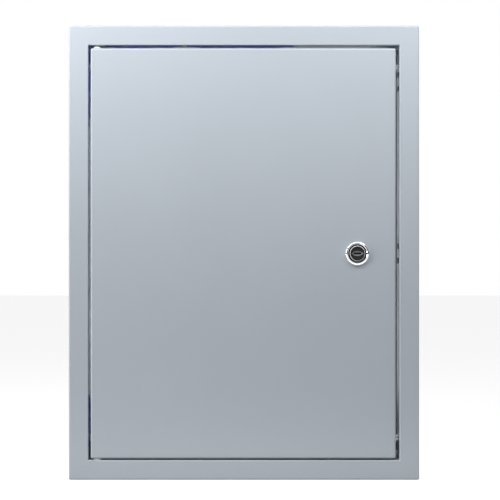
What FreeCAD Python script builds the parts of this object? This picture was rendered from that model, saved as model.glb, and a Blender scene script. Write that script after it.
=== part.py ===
"""Flush-mounted fire alarm control panel.

It is a recessed steel box with a trim frame and a blank lockable door. Behind the door are a gear plate with
the boards, the control fascia, the transformer and two standby batteries.

Row frame, millimetres: X to the right as seen from the front, Y towards the wall, Z up.
The origin is the centre of the box's rear face, so the front of the trim frame is at y = -DEPTH.
Each function makes one sub-part, and the list at the end writes one STEP file per sub-part.
"""

import FreeCAD
import Part
import math
import os

Vector = FreeCAD.Vector

# ---- driving dimensions -------------------------------------------------------------------------
DEPTH = 100.0
OPENING_W = 300.0
OPENING_H = 400.0
FLANGE = 19.0
SHEET = 1.2

FRONT = -DEPTH
SKIRT_DEPTH = 8.0
LIP_DEPTH = 28.0
LIP_END = FRONT + LIP_DEPTH
FRAME_BEND = 1.5
LIP_BEND = 1.1

# clearances between the door and the opening
GAP_LEFT = 2.2
GAP_RIGHT = 3.4
GAP_TOP = 2.8
GAP_BOTTOM = 1.4
DOOR_DEPTH = 14.0
DOOR_HEM = 8.0
DOOR_BEND = 2.0
DOOR_X0 = -OPENING_W / 2 + GAP_LEFT
DOOR_X1 = OPENING_W / 2 - GAP_RIGHT
DOOR_Z0 = -OPENING_H / 2 + GAP_BOTTOM
DOOR_Z1 = OPENING_H / 2 - GAP_TOP
DOOR_INSIDE = FRONT + SHEET
DOOR_BACK = FRONT + DOOR_DEPTH

# pivot hinge at the door's left edge
PIVOT_X = DOOR_X0 + 6.1
PIVOT_Y = FRONT + 5.0
PIN_R = 1.5
PIN_HOLE_R = 1.575

# cam lock
LOCK_X = DOOR_X1 - 37.2
LOCK_Z = (DOOR_Z0 + DOOR_Z1) / 2
BEZEL_R = 11.5
BEZEL_PROUD = 2.6
LOCK_BODY_R = 9.5
LOCK_FLAT = 8.0
PLUG_R = 7.4
PLUG_BORE_R = 7.45
LOCK_BODY_END = LIP_END + 0.5
CAM_T = 2.5
CAM_REACH = 44.0
CAM_W = 15.0
UPPER_SLOT_Z = 166.5
SLOT_SPACING = 14.0
SLOT_HALF = 2.7

# corner plates of the trim frame, which carry the door's rubber buffers
STOP_GAP = 0.3
STOP_BUFFER_T = 1.8
STOP_Y = DOOR_BACK + STOP_GAP + STOP_BUFFER_T
BUFFER_X = 142.4
BUFFER_Z = 192.6

# recessed box
BOX_FRONT = FRONT + 6.0
BOX_HALF_W = OPENING_W / 2 + 5.0
BOX_HALF_H = OPENING_H / 2 + 5.0
BOX_BACK_INSIDE = -SHEET
KNOCKOUT_R = 10.2
KNOCKOUT_Y = -42.0
WALL_HOLE_R = 3.25
WALL_HOLE_X = 120.0
WALL_HOLE_Z = 175.0

# fixings between the trim frame and the box
FIX_Z = 181.0
FIX_Y = FRONT + 20.0
M4_R = 2.0
M4_HEAD_R = 3.9
M4_HEAD_T = 2.4
RECESS_R = 2.2
RECESS_HALF_W = 0.45
RECESS_DEPTH = 1.2
WASHER_R = 4.4
WASHER_T = 0.8

# gear plate, which carries everything inside
PLATE_HALF_W = 140.0
PLATE_Z0 = -105.0
PLATE_Z1 = 150.0
PLATE_BACK = -8.0
PLATE_FRONT = PLATE_BACK - SHEET
PLATE_FOLD = 9.0
PLATE_STUDS = [(x, z) for x in (-128.0, 128.0) for z in (-92.0, 122.0)]

# circuit boards
BOARD_T = 1.6
BOARD_BACK = PLATE_FRONT - 8.0
BOARD_FRONT = BOARD_BACK - BOARD_T
MAIN_HALF_W = 121.0
MAIN_Z0 = 2.0
MAIN_Z1 = 141.0
CHARGER_X = (-34.0, 52.0)
CHARGER_Z = (-99.0, -16.0)
SUPPORT_R = 3.0
SUPPORT_PIN_R = 1.5

# screw terminals: left end, lower edge, number of ways, and the side that the wires enter
TERMINAL_PITCH = 5.08
TERMINAL_H = 11.5
TERMINAL_FRONT = BOARD_FRONT - 13.0
TERMINAL_ENTRY_Y = BOARD_FRONT - 4.5
FIELD_WAYS = 7
FIELD_BLOCKS = 6
FIELD_STEP = FIELD_WAYS * TERMINAL_PITCH + 1.2
FIELD_X0 = -(FIELD_BLOCKS * FIELD_STEP - 1.2) / 2
CHARGER_TERMINAL = (CHARGER_X[0] + 34.0, CHARGER_Z[0] + 2.0, 4, -1)
TERMINALS = [(FIELD_X0 + i * FIELD_STEP, MAIN_Z1 - 12.5, FIELD_WAYS, 1) for i in range(FIELD_BLOCKS)]
TERMINALS.append(CHARGER_TERMINAL)

# control fascia and its display board
FASCIA_FRONT = -50.0
FASCIA_BACK = FASCIA_FRONT + SHEET
FASCIA_HALF_W = 138.0
FASCIA_Z0 = -8.0
FASCIA_Z1 = 110.0
FASCIA_DEPTH = 8.0
OVERLAY_FRONT = FASCIA_FRONT - 0.5
OVERLAY_HALF_W = 120.0
OVERLAY_Z = (0.0, 102.0)
PILLARS = [(x, z) for x in (-132.0, 132.0) for z in (-1.0, 103.0)]
DISPLAY_FRONT = -43.6
DISPLAY_BACK = DISPLAY_FRONT + BOARD_T
DISPLAY_HALF_W = 116.0
DISPLAY_Z = (4.0, 98.0)
DISPLAY_SPACERS = [(x, z) for x in (-110.0, 50.0) for z in (10.0, 94.0)]

# controls on the fascia
ZONE_X = [-100.0 + 24.0 * i for i in range(4)]
FIRE_LAMPS = [(x, 84.0) for x in ZONE_X]
FAULT_LAMPS = [(x, 68.0) for x in ZONE_X] + [(14.0, 84.0 - 14.0 * i) for i in range(4)]
POWER_LAMP = (104.0, 88.0)
LAMP_R = 2.5
LAMP_HOLE_R = 2.6
BUTTON_Z = 26.0
BUTTONS = {
    "silence_button": -96.0,
    "sound_button": -66.0,
    "mute_button": -36.0,
    "reset_button": -6.0,
}
BUTTON_W = 20.0
BUTTON_H = 13.0
BUTTON_PROUD = 2.4
BUTTON_PLAY = 0.3
SWITCH_TOP = -46.5
KEYSWITCH = (90.0, 28.0)
SOUNDER = (76.0, 66.0)
SOUNDER_R = 11.0

# standby batteries, standing on the floor of the box
BATTERY = (134.0, 67.0, 61.0)
BATTERY_GAP = 6.0
BATTERY_FRONT = -71.0
BATTERY_Z0 = -BOX_HALF_H
BATTERY_TOP = BATTERY_Z0 + BATTERY[2]
TAB_Y = BATTERY_FRONT + 12.0
TAB_INSET = 15.0

# transformer
CORE_X = -88.0
CORE_Z = -58.0
CORE_Y = -34.5
CORE_HALF = (33.0, 12.0, 27.5)
COIL_HALF = (24.5, 22.0, 17.5)
LEG_HALF_W = 11.0
TRANSFORMER_SCREW_X = [CORE_X + side * (CORE_HALF[0] + 7.5) for side in (-1, 1)]

# mains terminal block
MAINS_X = (74.0, 122.0)
MAINS_Z = (-84.0, -60.0)
MAINS_FRONT = PLATE_FRONT - 21.0
MAINS_POLES = 4
MAINS_ENTRY_Y = PLATE_FRONT - 10.0

# leads
BATTERY_LEAD_R = 1.4
TRANSFORMER_LEAD_R = 1.1
TAB_TOP = BATTERY_TOP + 7.0
SLEEVE_TOP = TAB_TOP + 9.0

# earth studs on the box and on the door
STUD_R = 2.5
EARTH_NUT = 8.0
BOX_STUD = (-BOX_HALF_W, -52.0, -124.0)
DOOR_STUD = (-118.0, DOOR_INSIDE, -124.0)


# ---- small helpers ------------------------------------------------------------------------------
def box(x, y, z):
    """A box between pairs of coordinates."""
    x0, x1 = sorted(x)
    y0, y1 = sorted(y)
    z0, z1 = sorted(z)
    return Part.makeBox(x1 - x0, y1 - y0, z1 - z0, Vector(x0, y0, z0))


def cyl_x(y, z, r, x0, x1):
    return Part.makeCylinder(r, abs(x1 - x0), Vector(min(x0, x1), y, z), Vector(1, 0, 0))


def cyl_y(x, z, r, y0, y1):
    return Part.makeCylinder(r, abs(y1 - y0), Vector(x, min(y0, y1), z), Vector(0, 1, 0))


def cyl_z(x, y, r, z0, z1):
    return Part.makeCylinder(r, abs(z1 - z0), Vector(x, y, min(z0, z1)), Vector(0, 0, 1))


def ring_y(x, z, r_out, r_in, y0, y1):
    return cyl_y(x, z, r_out, y0, y1).cut(cyl_y(x, z, r_in, y0 - 1, y1 + 1))


def hex_y(x, z, across_flats, y0, y1):
    """A hexagonal bar along Y."""
    r = across_flats / math.sqrt(3)
    corners = [
        Vector(x + r * math.cos(math.radians(60 * i)), min(y0, y1), z + r * math.sin(math.radians(60 * i)))
        for i in range(7)
    ]
    return Part.Face(Part.makePolygon(corners)).extrude(Vector(0, abs(y1 - y0), 0))


def slot_cutter(x, y, z, half_length, r):
    """An obround cutter through a side wall: x is a pair, and the slot runs along Y and ends in radius r."""
    half = half_length - r
    ends = [cyl_x(y + side * half, z, r, x[0], x[1]) for side in (-1, 1)]
    return box(x, (y - half, y + half), (z - r, z + r)).fuse(ends)


def fillet_where(shape, radius, test):
    """Rounds the edges whose middle point passes the test."""
    chosen = []
    for edge in shape.Edges:
        middle = edge.valueAt((edge.FirstParameter + edge.LastParameter) / 2)
        if test(middle, edge):
            chosen.append(edge)
    return shape.makeFillet(radius, chosen)


def runs_along_y(edge):
    a, b = edge.Vertexes[0].Point, edge.Vertexes[-1].Point
    return abs(b.y - a.y) > 0.99 * (b - a).Length > 0


def pan(x, z, front, depth, bend):
    """A folded sheet-metal tray, open at the back, with rounded front edges and corners."""
    outer = box(x, (front, front + depth), z)
    outer = fillet_where(outer, bend, lambda m, e: abs(m.y - front) < 1e-3 or runs_along_y(e))
    inside = box(
        (x[0] + SHEET, x[1] - SHEET), (front + SHEET, front + depth + 1), (z[0] + SHEET, z[1] - SHEET)
    )
    if bend > SHEET + 0.2:
        inner = bend - SHEET
        inside = fillet_where(
            inside, inner, lambda m, e: abs(m.y - front - SHEET) < 1e-3 or runs_along_y(e)
        )
    return outer.cut(inside)


def tube(points, r):
    """A round lead along straight runs joined by tangent arcs, each as large as its two runs allow."""
    points = [Vector(*p) for p in points]
    edges = []
    start = points[0]
    for before, corner, after in zip(points, points[1:], points[2:]):
        a, b = before - corner, after - corner
        turn = math.pi - a.getAngle(b)
        reach = 0.45 * min(a.Length, b.Length)
        a.normalize()
        b.normalize()
        p0, p1 = corner + a * reach, corner + b * reach
        radius = reach / math.tan(turn / 2)
        inward = (a + b).normalize()
        centre = corner + inward * (radius / math.cos(turn / 2))
        middle = centre - inward * radius
        edges.append(Part.LineSegment(start, p0).toShape())
        edges.append(Part.Arc(p0, middle, p1).toShape())
        start = p1
    edges.append(Part.LineSegment(start, points[-1]).toShape())
    path = Part.Wire(edges)
    profile = Part.Wire(Part.makeCircle(r, points[0], points[1] - points[0]))
    return path.makePipeShell([profile], True, False)


def spring(x, y, z0, z1, r, wire_r, turns):
    """A closed helical compression spring between two heights."""
    pitch = (z1 - z0 - 2 * wire_r) / turns
    helix = Part.makeHelix(pitch, pitch * turns, r)
    helix.translate(Vector(x, y, z0 + wire_r))
    start = Vector(x + r, y, z0 + wire_r)
    profile = Part.Wire(Part.makeCircle(wire_r, start, Vector(0, 2 * math.pi * r, pitch)))
    return Part.Wire(helix.Edges).makePipeShell([profile], True, True)


# ---- recessed box and trim frame ----------------------------------------------------------------
def knockout_ring(centre, axis):
    """The shallow ring that is punched round a knockout, on the outside of a wall."""
    depth, width = 0.5, 0.7
    start = centre - axis * depth
    outer = Part.makeCylinder(KNOCKOUT_R, depth + 1, start, axis)
    return outer.cut(Part.makeCylinder(KNOCKOUT_R - width, depth + 1, start, axis))


def back_box():
    half_w, half_h = BOX_HALF_W + SHEET, BOX_HALF_H + SHEET
    shell = box((-half_w, half_w), (BOX_FRONT, 0), (-half_h, half_h))
    shell = fillet_where(shell, SHEET, lambda m, e: abs(m.y) < 1e-3 or runs_along_y(e))
    shell = shell.cut(
        box((-BOX_HALF_W, BOX_HALF_W), (BOX_FRONT - 1, BOX_BACK_INSIDE), (-BOX_HALF_H, BOX_HALF_H))
    )
    # welded corner flaps of the top and bottom walls, lapped over the side walls
    flap_w, flap_in = 14.0, 2.0
    weld_r, weld_depth = 2.4, 0.25
    for side in (-1, 1):
        for end in (-1, 1):
            x = sorted((side * half_w, side * (half_w + SHEET)))
            z = sorted((end * (half_h - SHEET), end * (half_h - flap_w)))
            shell = shell.fuse(box(x, (BOX_FRONT + flap_in, -flap_in - SHEET), z))
            for y in (-82.0, -58.0, -34.0, -12.0):
                face = side * (half_w + SHEET)
                shell = shell.cut(
                    cyl_x(y, end * (half_h - flap_w / 2), weld_r, face - side * weld_depth, face + side)
                )
    for x in (-105.0, -63.0, -21.0, 21.0, 63.0, 105.0):
        shell = shell.cut(knockout_ring(Vector(x, KNOCKOUT_Y, half_h), Vector(0, 0, 1)))
    for x in (-84.0, 84.0):
        shell = shell.cut(knockout_ring(Vector(x, KNOCKOUT_Y, -half_h), Vector(0, 0, -1)))
        shell = shell.cut(knockout_ring(Vector(x, 0, 178.0), Vector(0, 1, 0)))
    for side in (-1, 1):
        shell = shell.cut(knockout_ring(Vector(side * half_w, KNOCKOUT_Y, 150.0), Vector(side, 0, 0)))
    for x in (-WALL_HOLE_X, WALL_HOLE_X):
        for z in (-WALL_HOLE_Z, WALL_HOLE_Z):
            shell = shell.cut(cyl_y(x, z, WALL_HOLE_R, -5, 1))
    for side in (-1, 1):
        for z in (-FIX_Z, FIX_Z):
            shell = shell.cut(
                cyl_x(FIX_Y, z, M4_R + 0.3, side * (BOX_HALF_W - 1), side * (BOX_HALF_W + 3))
            )
    return shell


def trim_frame():
    half_w, half_h = OPENING_W / 2 + FLANGE, OPENING_H / 2 + FLANGE
    skirt = (FRONT, FRONT + SKIRT_DEPTH)
    frame = box((-half_w, half_w), skirt, (-half_h, half_h))
    frame = fillet_where(frame, FRAME_BEND, lambda m, e: abs(m.y - FRONT) < 1e-3 or runs_along_y(e))
    frame = frame.cut(
        box(
            (-half_w + SHEET, half_w - SHEET), (FRONT + SHEET, skirt[1] + 1),
            (-half_h + SHEET, half_h - SHEET),
        )
    )
    lip_w, lip_h = OPENING_W / 2 + SHEET, OPENING_H / 2 + SHEET
    frame = frame.fuse(box((-lip_w, lip_w), (FRONT + SHEET / 2, LIP_END), (-lip_h, lip_h)))
    frame = frame.cut(
        box((-OPENING_W / 2, OPENING_W / 2), (FRONT - 1, LIP_END + 1), (-OPENING_H / 2, OPENING_H / 2))
    )
    frame = fillet_where(
        frame,
        LIP_BEND,
        lambda m, e: abs(m.y - FRONT) < 1e-3 and abs(m.x) <= OPENING_W / 2 and abs(m.z) <= OPENING_H / 2,
    )
    slot_x = (OPENING_W / 2 - 1, lip_w + 1)
    slot_y = (FRONT + 5, FRONT + 25)
    for pair_z in (LOCK_Z, UPPER_SLOT_Z):
        for z in (pair_z - SLOT_SPACING / 2, pair_z + SLOT_SPACING / 2):
            frame = frame.cut(box(slot_x, slot_y, (z - SLOT_HALF, z + SLOT_HALF)))
    for side in (-1, 1):
        wall = sorted((side * (OPENING_W / 2 - 1), side * (lip_w + 1)))
        for z in (-FIX_Z, FIX_Z):
            frame = frame.cut(slot_cutter(wall, FIX_Y, z, 6.0, M4_R + 0.3))
    for z in (-lip_h, lip_h):
        frame = frame.cut(cyl_z(PIVOT_X, PIVOT_Y, PIN_HOLE_R, z - 3, z + 3))
    return frame.fuse([corner_plate(side) for side in (-1, 1)])


def corner_plate(side):
    """A small plate across a right-hand corner of the opening, welded to both lips by a narrow leg."""
    right, top = OPENING_W / 2 + 0.5, OPENING_H / 2 + 0.5
    outline = [
        (right - 9.0, top),
        (right - 5.0, top),
        (right, top - 4.5),
        (right, top - 8.0),
        (right - 4.0, top - 8.0),
        (right - 4.0, top - 12.0),
        (right - 12.0, top - 12.0),
        (right - 12.0, top - 4.0),
        (right - 9.0, top - 4.0),
    ]
    corners = [Vector(x, STOP_Y, side * z) for x, z in outline + outline[:1]]
    return Part.Face(Part.makePolygon(corners)).extrude(Vector(0, SHEET, 0))


def door_buffers():
    """Domed rubber buttons on the corner plates, which the closed door lands on."""
    made = []
    front = DOOR_BACK + STOP_GAP
    for side in (-1, 1):
        pad = cyl_y(BUFFER_X, side * BUFFER_Z, 3.4, front, STOP_Y)
        made.append(fillet_where(pad, 0.8, lambda m, e: abs(m.y - front) < 1e-3 and e.Closed))
    return made


def frame_brackets():
    """Hat-shaped brackets welded inside the box, which the trim frame is screwed to."""
    made = []
    crown_x = (OPENING_W / 2 + SHEET + 0.1, OPENING_W / 2 + 2 * SHEET + 0.1)
    leg_x = (crown_x[0], BOX_HALF_W)
    foot_x = (BOX_HALF_W - SHEET, BOX_HALF_W)
    y = (FIX_Y - 8.0, FIX_Y + 8.0)
    half, foot_end = 9.0, 17.0
    for side in (-1, 1):
        for z in (-FIX_Z, FIX_Z):
            hat = box(crown_x, y, (z - half, z + half))
            for end in (-1, 1):
                leg_z = (z + end * half, z + end * (half - SHEET))
                foot_z = (z + end * (half - SHEET), z + end * foot_end)
                hat = hat.fuse([box(leg_x, y, leg_z), box(foot_x, y, foot_z)])
            hat = hat.cut(cyl_x(FIX_Y, z, M4_R + 0.1, crown_x[0] - 1, crown_x[1] + 1))
            if side < 0:
                hat = hat.mirror(Vector(0, 0, 0), Vector(1, 0, 0))
            made.append(hat)
    return made


def screw_x(y, z, head_face, direction, length):
    """A pan-head M4 screw with its washer along X. head_face is where the washer sits."""
    under_head = head_face - direction * WASHER_T
    top = under_head - direction * M4_HEAD_T
    washer = cyl_x(y, z, WASHER_R, head_face, under_head)
    head = cyl_x(y, z, M4_HEAD_R, under_head, top)
    head = fillet_where(head, 0.9, lambda m, e: abs(m.x - top) < 1e-3 and e.Closed)
    shank = cyl_x(y, z, M4_R, head_face, head_face + direction * length)
    recess = (top - direction, top + direction * RECESS_DEPTH)
    cross = box(recess, (y - RECESS_R, y + RECESS_R), (z - RECESS_HALF_W, z + RECESS_HALF_W)).fuse(
        box(recess, (y - RECESS_HALF_W, y + RECESS_HALF_W), (z - RECESS_R, z + RECESS_R))
    )
    return washer.fuse([head, shank]).cut(cross)


def screw_y(x, z, seat, length):
    """A pan-head M4 screw that points to the back, with its head on the seat."""
    top = seat - M4_HEAD_T
    head = cyl_y(x, z, M4_HEAD_R, top, seat)
    head = fillet_where(head, 0.9, lambda m, e: abs(m.y - top) < 1e-3 and e.Closed)
    shank = cyl_y(x, z, M4_R, seat, seat + length)
    recess = (top - 1, top + RECESS_DEPTH)
    cross = box((x - RECESS_R, x + RECESS_R), recess, (z - RECESS_HALF_W, z + RECESS_HALF_W)).fuse(
        box((x - RECESS_HALF_W, x + RECESS_HALF_W), recess, (z - RECESS_R, z + RECESS_R))
    )
    return head.fuse(shank).cut(cross)


def frame_screws():
    face = OPENING_W / 2
    return [screw_x(FIX_Y, z, side * face, side, 8.2) for side in (-1, 1) for z in (-FIX_Z, FIX_Z)]


# ---- door, its hinge and its lock ---------------------------------------------------------------
def door():
    shell = pan((DOOR_X0, DOOR_X1), (DOOR_Z0, DOOR_Z1), FRONT, DOOR_DEPTH, DOOR_BEND)
    hem_z = (DOOR_Z0 + 3.0, DOOR_Z1 - 3.0)
    hem_y = (DOOR_BACK - SHEET, DOOR_BACK)
    shell = shell.fuse(box((DOOR_X1 - SHEET / 2, DOOR_X1 - DOOR_HEM), hem_y, hem_z))
    shell = shell.fuse(box((DOOR_X0 + SHEET / 2, DOOR_X0 + DOOR_HEM), hem_y, (hem_z[0] + 10, 150.0)))
    hole = cyl_y(LOCK_X, LOCK_Z, LOCK_BODY_R + 0.1, FRONT - 1, DOOR_INSIDE + 1).common(
        box(
            (LOCK_X - 20, LOCK_X + 20), (FRONT - 2, DOOR_INSIDE + 2),
            (LOCK_Z - LOCK_FLAT - 0.1, LOCK_Z + LOCK_FLAT + 0.1),
        )
    )
    shell = shell.cut(hole)
    for z in (DOOR_Z0, DOOR_Z1):
        shell = shell.cut(cyl_z(PIVOT_X, PIVOT_Y, PIN_HOLE_R, z - 3, z + 3))
    return shell


BRACKET_TOP = DOOR_Z1 - 5.0
BRACKET_BOTTOM = BRACKET_TOP - 32.0
BRACKET_X0 = DOOR_X0 + SHEET


def hinge_bracket():
    """The folded bracket on the door's left return that guides the sprung upper pin."""
    ear_x = (BRACKET_X0, PIVOT_X + 5.4)
    y = (DOOR_INSIDE + 1.0, PIVOT_Y + 5.0)
    bracket = box((BRACKET_X0, BRACKET_X0 + SHEET), y, (BRACKET_BOTTOM, BRACKET_TOP))
    for z in (BRACKET_BOTTOM, BRACKET_TOP - SHEET):
        bracket = bracket.fuse(box(ear_x, y, (z, z + SHEET)))
    bracket = bracket.cut(cyl_z(PIVOT_X, PIVOT_Y, PIN_HOLE_R, BRACKET_BOTTOM - 1, BRACKET_TOP + 1))
    return bracket


COLLAR_Z = BRACKET_BOTTOM + 16.0
COLLAR_T = 1.2
HANDLE_Z = BRACKET_BOTTOM - PIN_R - 0.2


def upper_hinge_pin():
    """The sprung pin: a rod with a collar for its spring and a bent finger handle at its lower end."""
    tip = OPENING_H / 2 + 4.2
    pin = cyl_z(PIVOT_X, PIVOT_Y, PIN_R, HANDLE_Z, tip)
    pin = fillet_where(pin, 1.2, lambda m, e: abs(m.z - tip) < 1e-3 and e.Closed)
    collar = cyl_z(PIVOT_X, PIVOT_Y, 3.2, COLLAR_Z, COLLAR_Z + COLLAR_T)
    elbow = Part.makeSphere(PIN_R, Vector(PIVOT_X, PIVOT_Y, HANDLE_Z))
    handle = cyl_x(PIVOT_Y, HANDLE_Z, PIN_R, PIVOT_X, PIVOT_X + 14.0)
    return pin.fuse([collar, elbow, handle])


def pin_spring():
    return spring(PIVOT_X, PIVOT_Y, BRACKET_BOTTOM + SHEET + 0.05, COLLAR_Z - 0.05, 2.65, 0.4, 6)


def lower_hinge_pin():
    """The fixed pin, riveted in the door's bottom return."""
    inside = DOOR_Z0 + SHEET
    head = cyl_z(PIVOT_X, PIVOT_Y, 2.9, inside, inside + 1.5)
    return head.fuse(cyl_z(PIVOT_X, PIVOT_Y, PIN_R, -OPENING_H / 2 - 4.0, inside))


def hinge_washers():
    """The tapered bush in the upper gap and the flat washer that the door rests on below."""
    play = 0.05
    bore_r = PIN_R + 0.1
    low, high = DOOR_Z1 + play, OPENING_H / 2 - play
    bush = Part.makeCone(4.3, 1.9, high - low, Vector(PIVOT_X, PIVOT_Y, low))
    bush = bush.cut(cyl_z(PIVOT_X, PIVOT_Y, bore_r, low - 1, high + 1))
    low, high = -OPENING_H / 2 + play, DOOR_Z0 - play
    washer = cyl_z(PIVOT_X, PIVOT_Y, 4.0, low, high).cut(cyl_z(PIVOT_X, PIVOT_Y, bore_r, low - 1, high + 1))
    return [bush, washer]


def lock_housing():
    """Chromed head and threaded barrel of the cam lock, with two flats."""
    face = FRONT - BEZEL_PROUD
    head = cyl_y(LOCK_X, LOCK_Z, BEZEL_R, face, FRONT)
    head = fillet_where(head, 1.9, lambda m, e: abs(m.y - face) < 1e-3 and e.Closed)
    barrel = cyl_y(LOCK_X, LOCK_Z, LOCK_BODY_R, FRONT - 0.5, LOCK_BODY_END)
    flats = box(
        (LOCK_X - 20, LOCK_X + 20), (FRONT, LOCK_BODY_END + 1), (LOCK_Z - LOCK_FLAT, LOCK_Z + LOCK_FLAT)
    ).fuse(cyl_y(LOCK_X, LOCK_Z, BEZEL_R + 1, face - 1, FRONT))
    body = head.fuse(barrel).common(flats)
    body = body.cut(cyl_y(LOCK_X, LOCK_Z, PLUG_BORE_R, face - 1, LOCK_BODY_END + 1))
    body = body.cut(cyl_y(LOCK_X, LOCK_Z, 9.0, face - 1, face + 1.3))
    return body.cut(
        Part.makeCone(9.7, 8.9, 0.8, Vector(LOCK_X, face - 0.05, LOCK_Z), Vector(0, 1, 0))
    )


def lock_nut():
    washer_end = DOOR_INSIDE + 0.9
    washer = ring_y(LOCK_X, LOCK_Z, 12.0, LOCK_BODY_R + 0.05, DOOR_INSIDE, washer_end)
    nut = hex_y(LOCK_X, LOCK_Z, 22.0, washer_end, washer_end + 4.0)
    nut = nut.cut(cyl_y(LOCK_X, LOCK_Z, LOCK_BODY_R + 0.05, washer_end - 1, washer_end + 5))
    return [washer, nut]


PLUG_FACE = FRONT - BEZEL_PROUD + 0.35
TAIL_HALF = 4.0


def lock_plug():
    """The turning plug: a flat key slot in an eye-shaped dish, and a square tail for the cam."""
    plug = cyl_y(LOCK_X, LOCK_Z, PLUG_R, PLUG_FACE, LOCK_BODY_END)
    plug = plug.makeChamfer(
        0.5, [e for e in plug.Edges if e.Closed and abs(e.BoundBox.YMax - PLUG_FACE) < 1e-3]
    )
    tail = box(
        (LOCK_X - TAIL_HALF, LOCK_X + TAIL_HALF), (LOCK_BODY_END - 0.5, LOCK_BODY_END + CAM_T),
        (LOCK_Z - TAIL_HALF, LOCK_Z + TAIL_HALF),
    )
    dish_r, dish_offset = 7.4, 4.9
    dish = cyl_y(LOCK_X, LOCK_Z + dish_offset, dish_r, PLUG_FACE - 1, PLUG_FACE + 0.9).common(
        cyl_y(LOCK_X, LOCK_Z - dish_offset, dish_r, PLUG_FACE - 1, PLUG_FACE + 0.9)
    )
    keyway_depth = 13.0
    keyway = box(
        (LOCK_X - 3.6, LOCK_X + 3.6), (PLUG_FACE - 1, PLUG_FACE + keyway_depth), (LOCK_Z - 0.9, LOCK_Z + 0.9)
    )
    screw_hole = cyl_y(LOCK_X, LOCK_Z, M4_R + 0.05, LOCK_BODY_END - 5.0, LOCK_BODY_END + CAM_T + 1)
    return plug.fuse(tail).cut(dish).cut(keyway).cut(screw_hole)


def lock_cam():
    """The flat tongue, stored pointing down, which is unlocked."""
    y = (LOCK_BODY_END + 0.05, LOCK_BODY_END + CAM_T)
    hub = cyl_y(LOCK_X, LOCK_Z, 9.0, y[0], y[1])
    tip_r = CAM_W / 2
    tongue = box((LOCK_X - tip_r, LOCK_X + tip_r), y, (LOCK_Z - CAM_REACH + tip_r, LOCK_Z))
    tip = cyl_y(LOCK_X, LOCK_Z - CAM_REACH + tip_r, tip_r, y[0], y[1])
    square = box(
        (LOCK_X - TAIL_HALF - 0.05, LOCK_X + TAIL_HALF + 0.05), (y[0] - 1, y[1] + 1),
        (LOCK_Z - TAIL_HALF - 0.05, LOCK_Z + TAIL_HALF + 0.05),
    )
    return hub.fuse([tongue, tip]).cut(square)


def cam_screw():
    start = LOCK_BODY_END + CAM_T
    washer = cyl_y(LOCK_X, LOCK_Z, 6.5, start, start + 0.9)
    head = hex_y(LOCK_X, LOCK_Z, 7.0, start + 0.9, start + 3.6)
    shank = cyl_y(LOCK_X, LOCK_Z, M4_R, start - 6.0, start)
    return washer.fuse([head, shank])


# ---- gear plate and boards ----------------------------------------------------------------------
def gear_plate():
    """The mounting plate, with folded bottom and side edges."""
    plate = box((-PLATE_HALF_W, PLATE_HALF_W), (PLATE_BACK, PLATE_FRONT), (PLATE_Z0, PLATE_Z1))
    fold = (PLATE_FRONT - PLATE_FOLD, PLATE_BACK)
    plate = plate.fuse(box((-PLATE_HALF_W, PLATE_HALF_W), fold, (PLATE_Z0, PLATE_Z0 + SHEET)))
    for side in (-1, 1):
        edge = (side * PLATE_HALF_W, side * (PLATE_HALF_W - SHEET))
        plate = plate.fuse(box(edge, fold, (PLATE_Z0, PLATE_Z1)))
    for x, z in PLATE_STUDS + [(x, CORE_Z) for x in TRANSFORMER_SCREW_X]:
        plate = plate.cut(cyl_y(x, z, M4_R + 0.25, PLATE_FRONT - 1, PLATE_BACK + 1))
    return plate


def plate_studs():
    """Welded studs with a shoulder that holds the plate off the back wall."""
    return [
        cyl_y(x, z, 4.0, PLATE_BACK, BOX_BACK_INSIDE).fuse(cyl_y(x, z, M4_R, PLATE_FRONT - 8.0, PLATE_BACK))
        for x, z in PLATE_STUDS
    ]


def nut_y(x, z, seat):
    """A washer and an M4 nut on a stud that points to the front."""
    washer = ring_y(x, z, WASHER_R, M4_R + 0.05, seat - WASHER_T, seat)
    nut = hex_y(x, z, 7.0, seat - 4.0, seat - WASHER_T)
    return washer.fuse(nut.cut(cyl_y(x, z, M4_R + 0.05, seat - 5, seat)))


def plate_nuts():
    return [nut_y(x, z, PLATE_FRONT) for x, z in PLATE_STUDS]


MAIN_SUPPORTS = [(x, z) for x in (-115.0, 0.0, 115.0) for z in (9.0, 119.0)]
CHARGER_SUPPORTS = [
    (x, z)
    for x in (CHARGER_X[0] + 5, CHARGER_X[1] - 5)
    for z in (CHARGER_Z[0] + 5, CHARGER_Z[1] - 5)
]


def board(x, z, back, holes, hole_r):
    made = box(x, (back - BOARD_T, back), z)
    for hx, hz in holes:
        made = made.cut(cyl_y(hx, hz, hole_r, back - BOARD_T - 1, back + 1))
    return made


def main_board():
    x = (-MAIN_HALF_W, MAIN_HALF_W)
    return board(x, (MAIN_Z0, MAIN_Z1), BOARD_BACK, MAIN_SUPPORTS, SUPPORT_PIN_R + 0.1)


def charger_board():
    return board(CHARGER_X, CHARGER_Z, BOARD_BACK, CHARGER_SUPPORTS, SUPPORT_PIN_R + 0.1)


def board_supports():
    """Nylon snap-in pillars under the two boards on the plate, and the spacers of the display board."""
    made = [cyl_y(x, z, 2.5, FASCIA_BACK, DISPLAY_FRONT) for x, z in DISPLAY_SPACERS]
    for x, z in MAIN_SUPPORTS + CHARGER_SUPPORTS:
        pillar = cyl_y(x, z, SUPPORT_R, BOARD_BACK, PLATE_FRONT)
        neck = cyl_y(x, z, SUPPORT_PIN_R, BOARD_FRONT, BOARD_BACK)
        cap = Part.makeCone(2.2, 1.0, 2.6, Vector(x, BOARD_FRONT, z), Vector(0, -1, 0))
        made.append(pillar.fuse([neck, cap]))
    return made


def way_x(block, way):
    """The middle of one way of a terminal block."""
    return block[0] + (way + 0.5) * TERMINAL_PITCH


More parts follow.
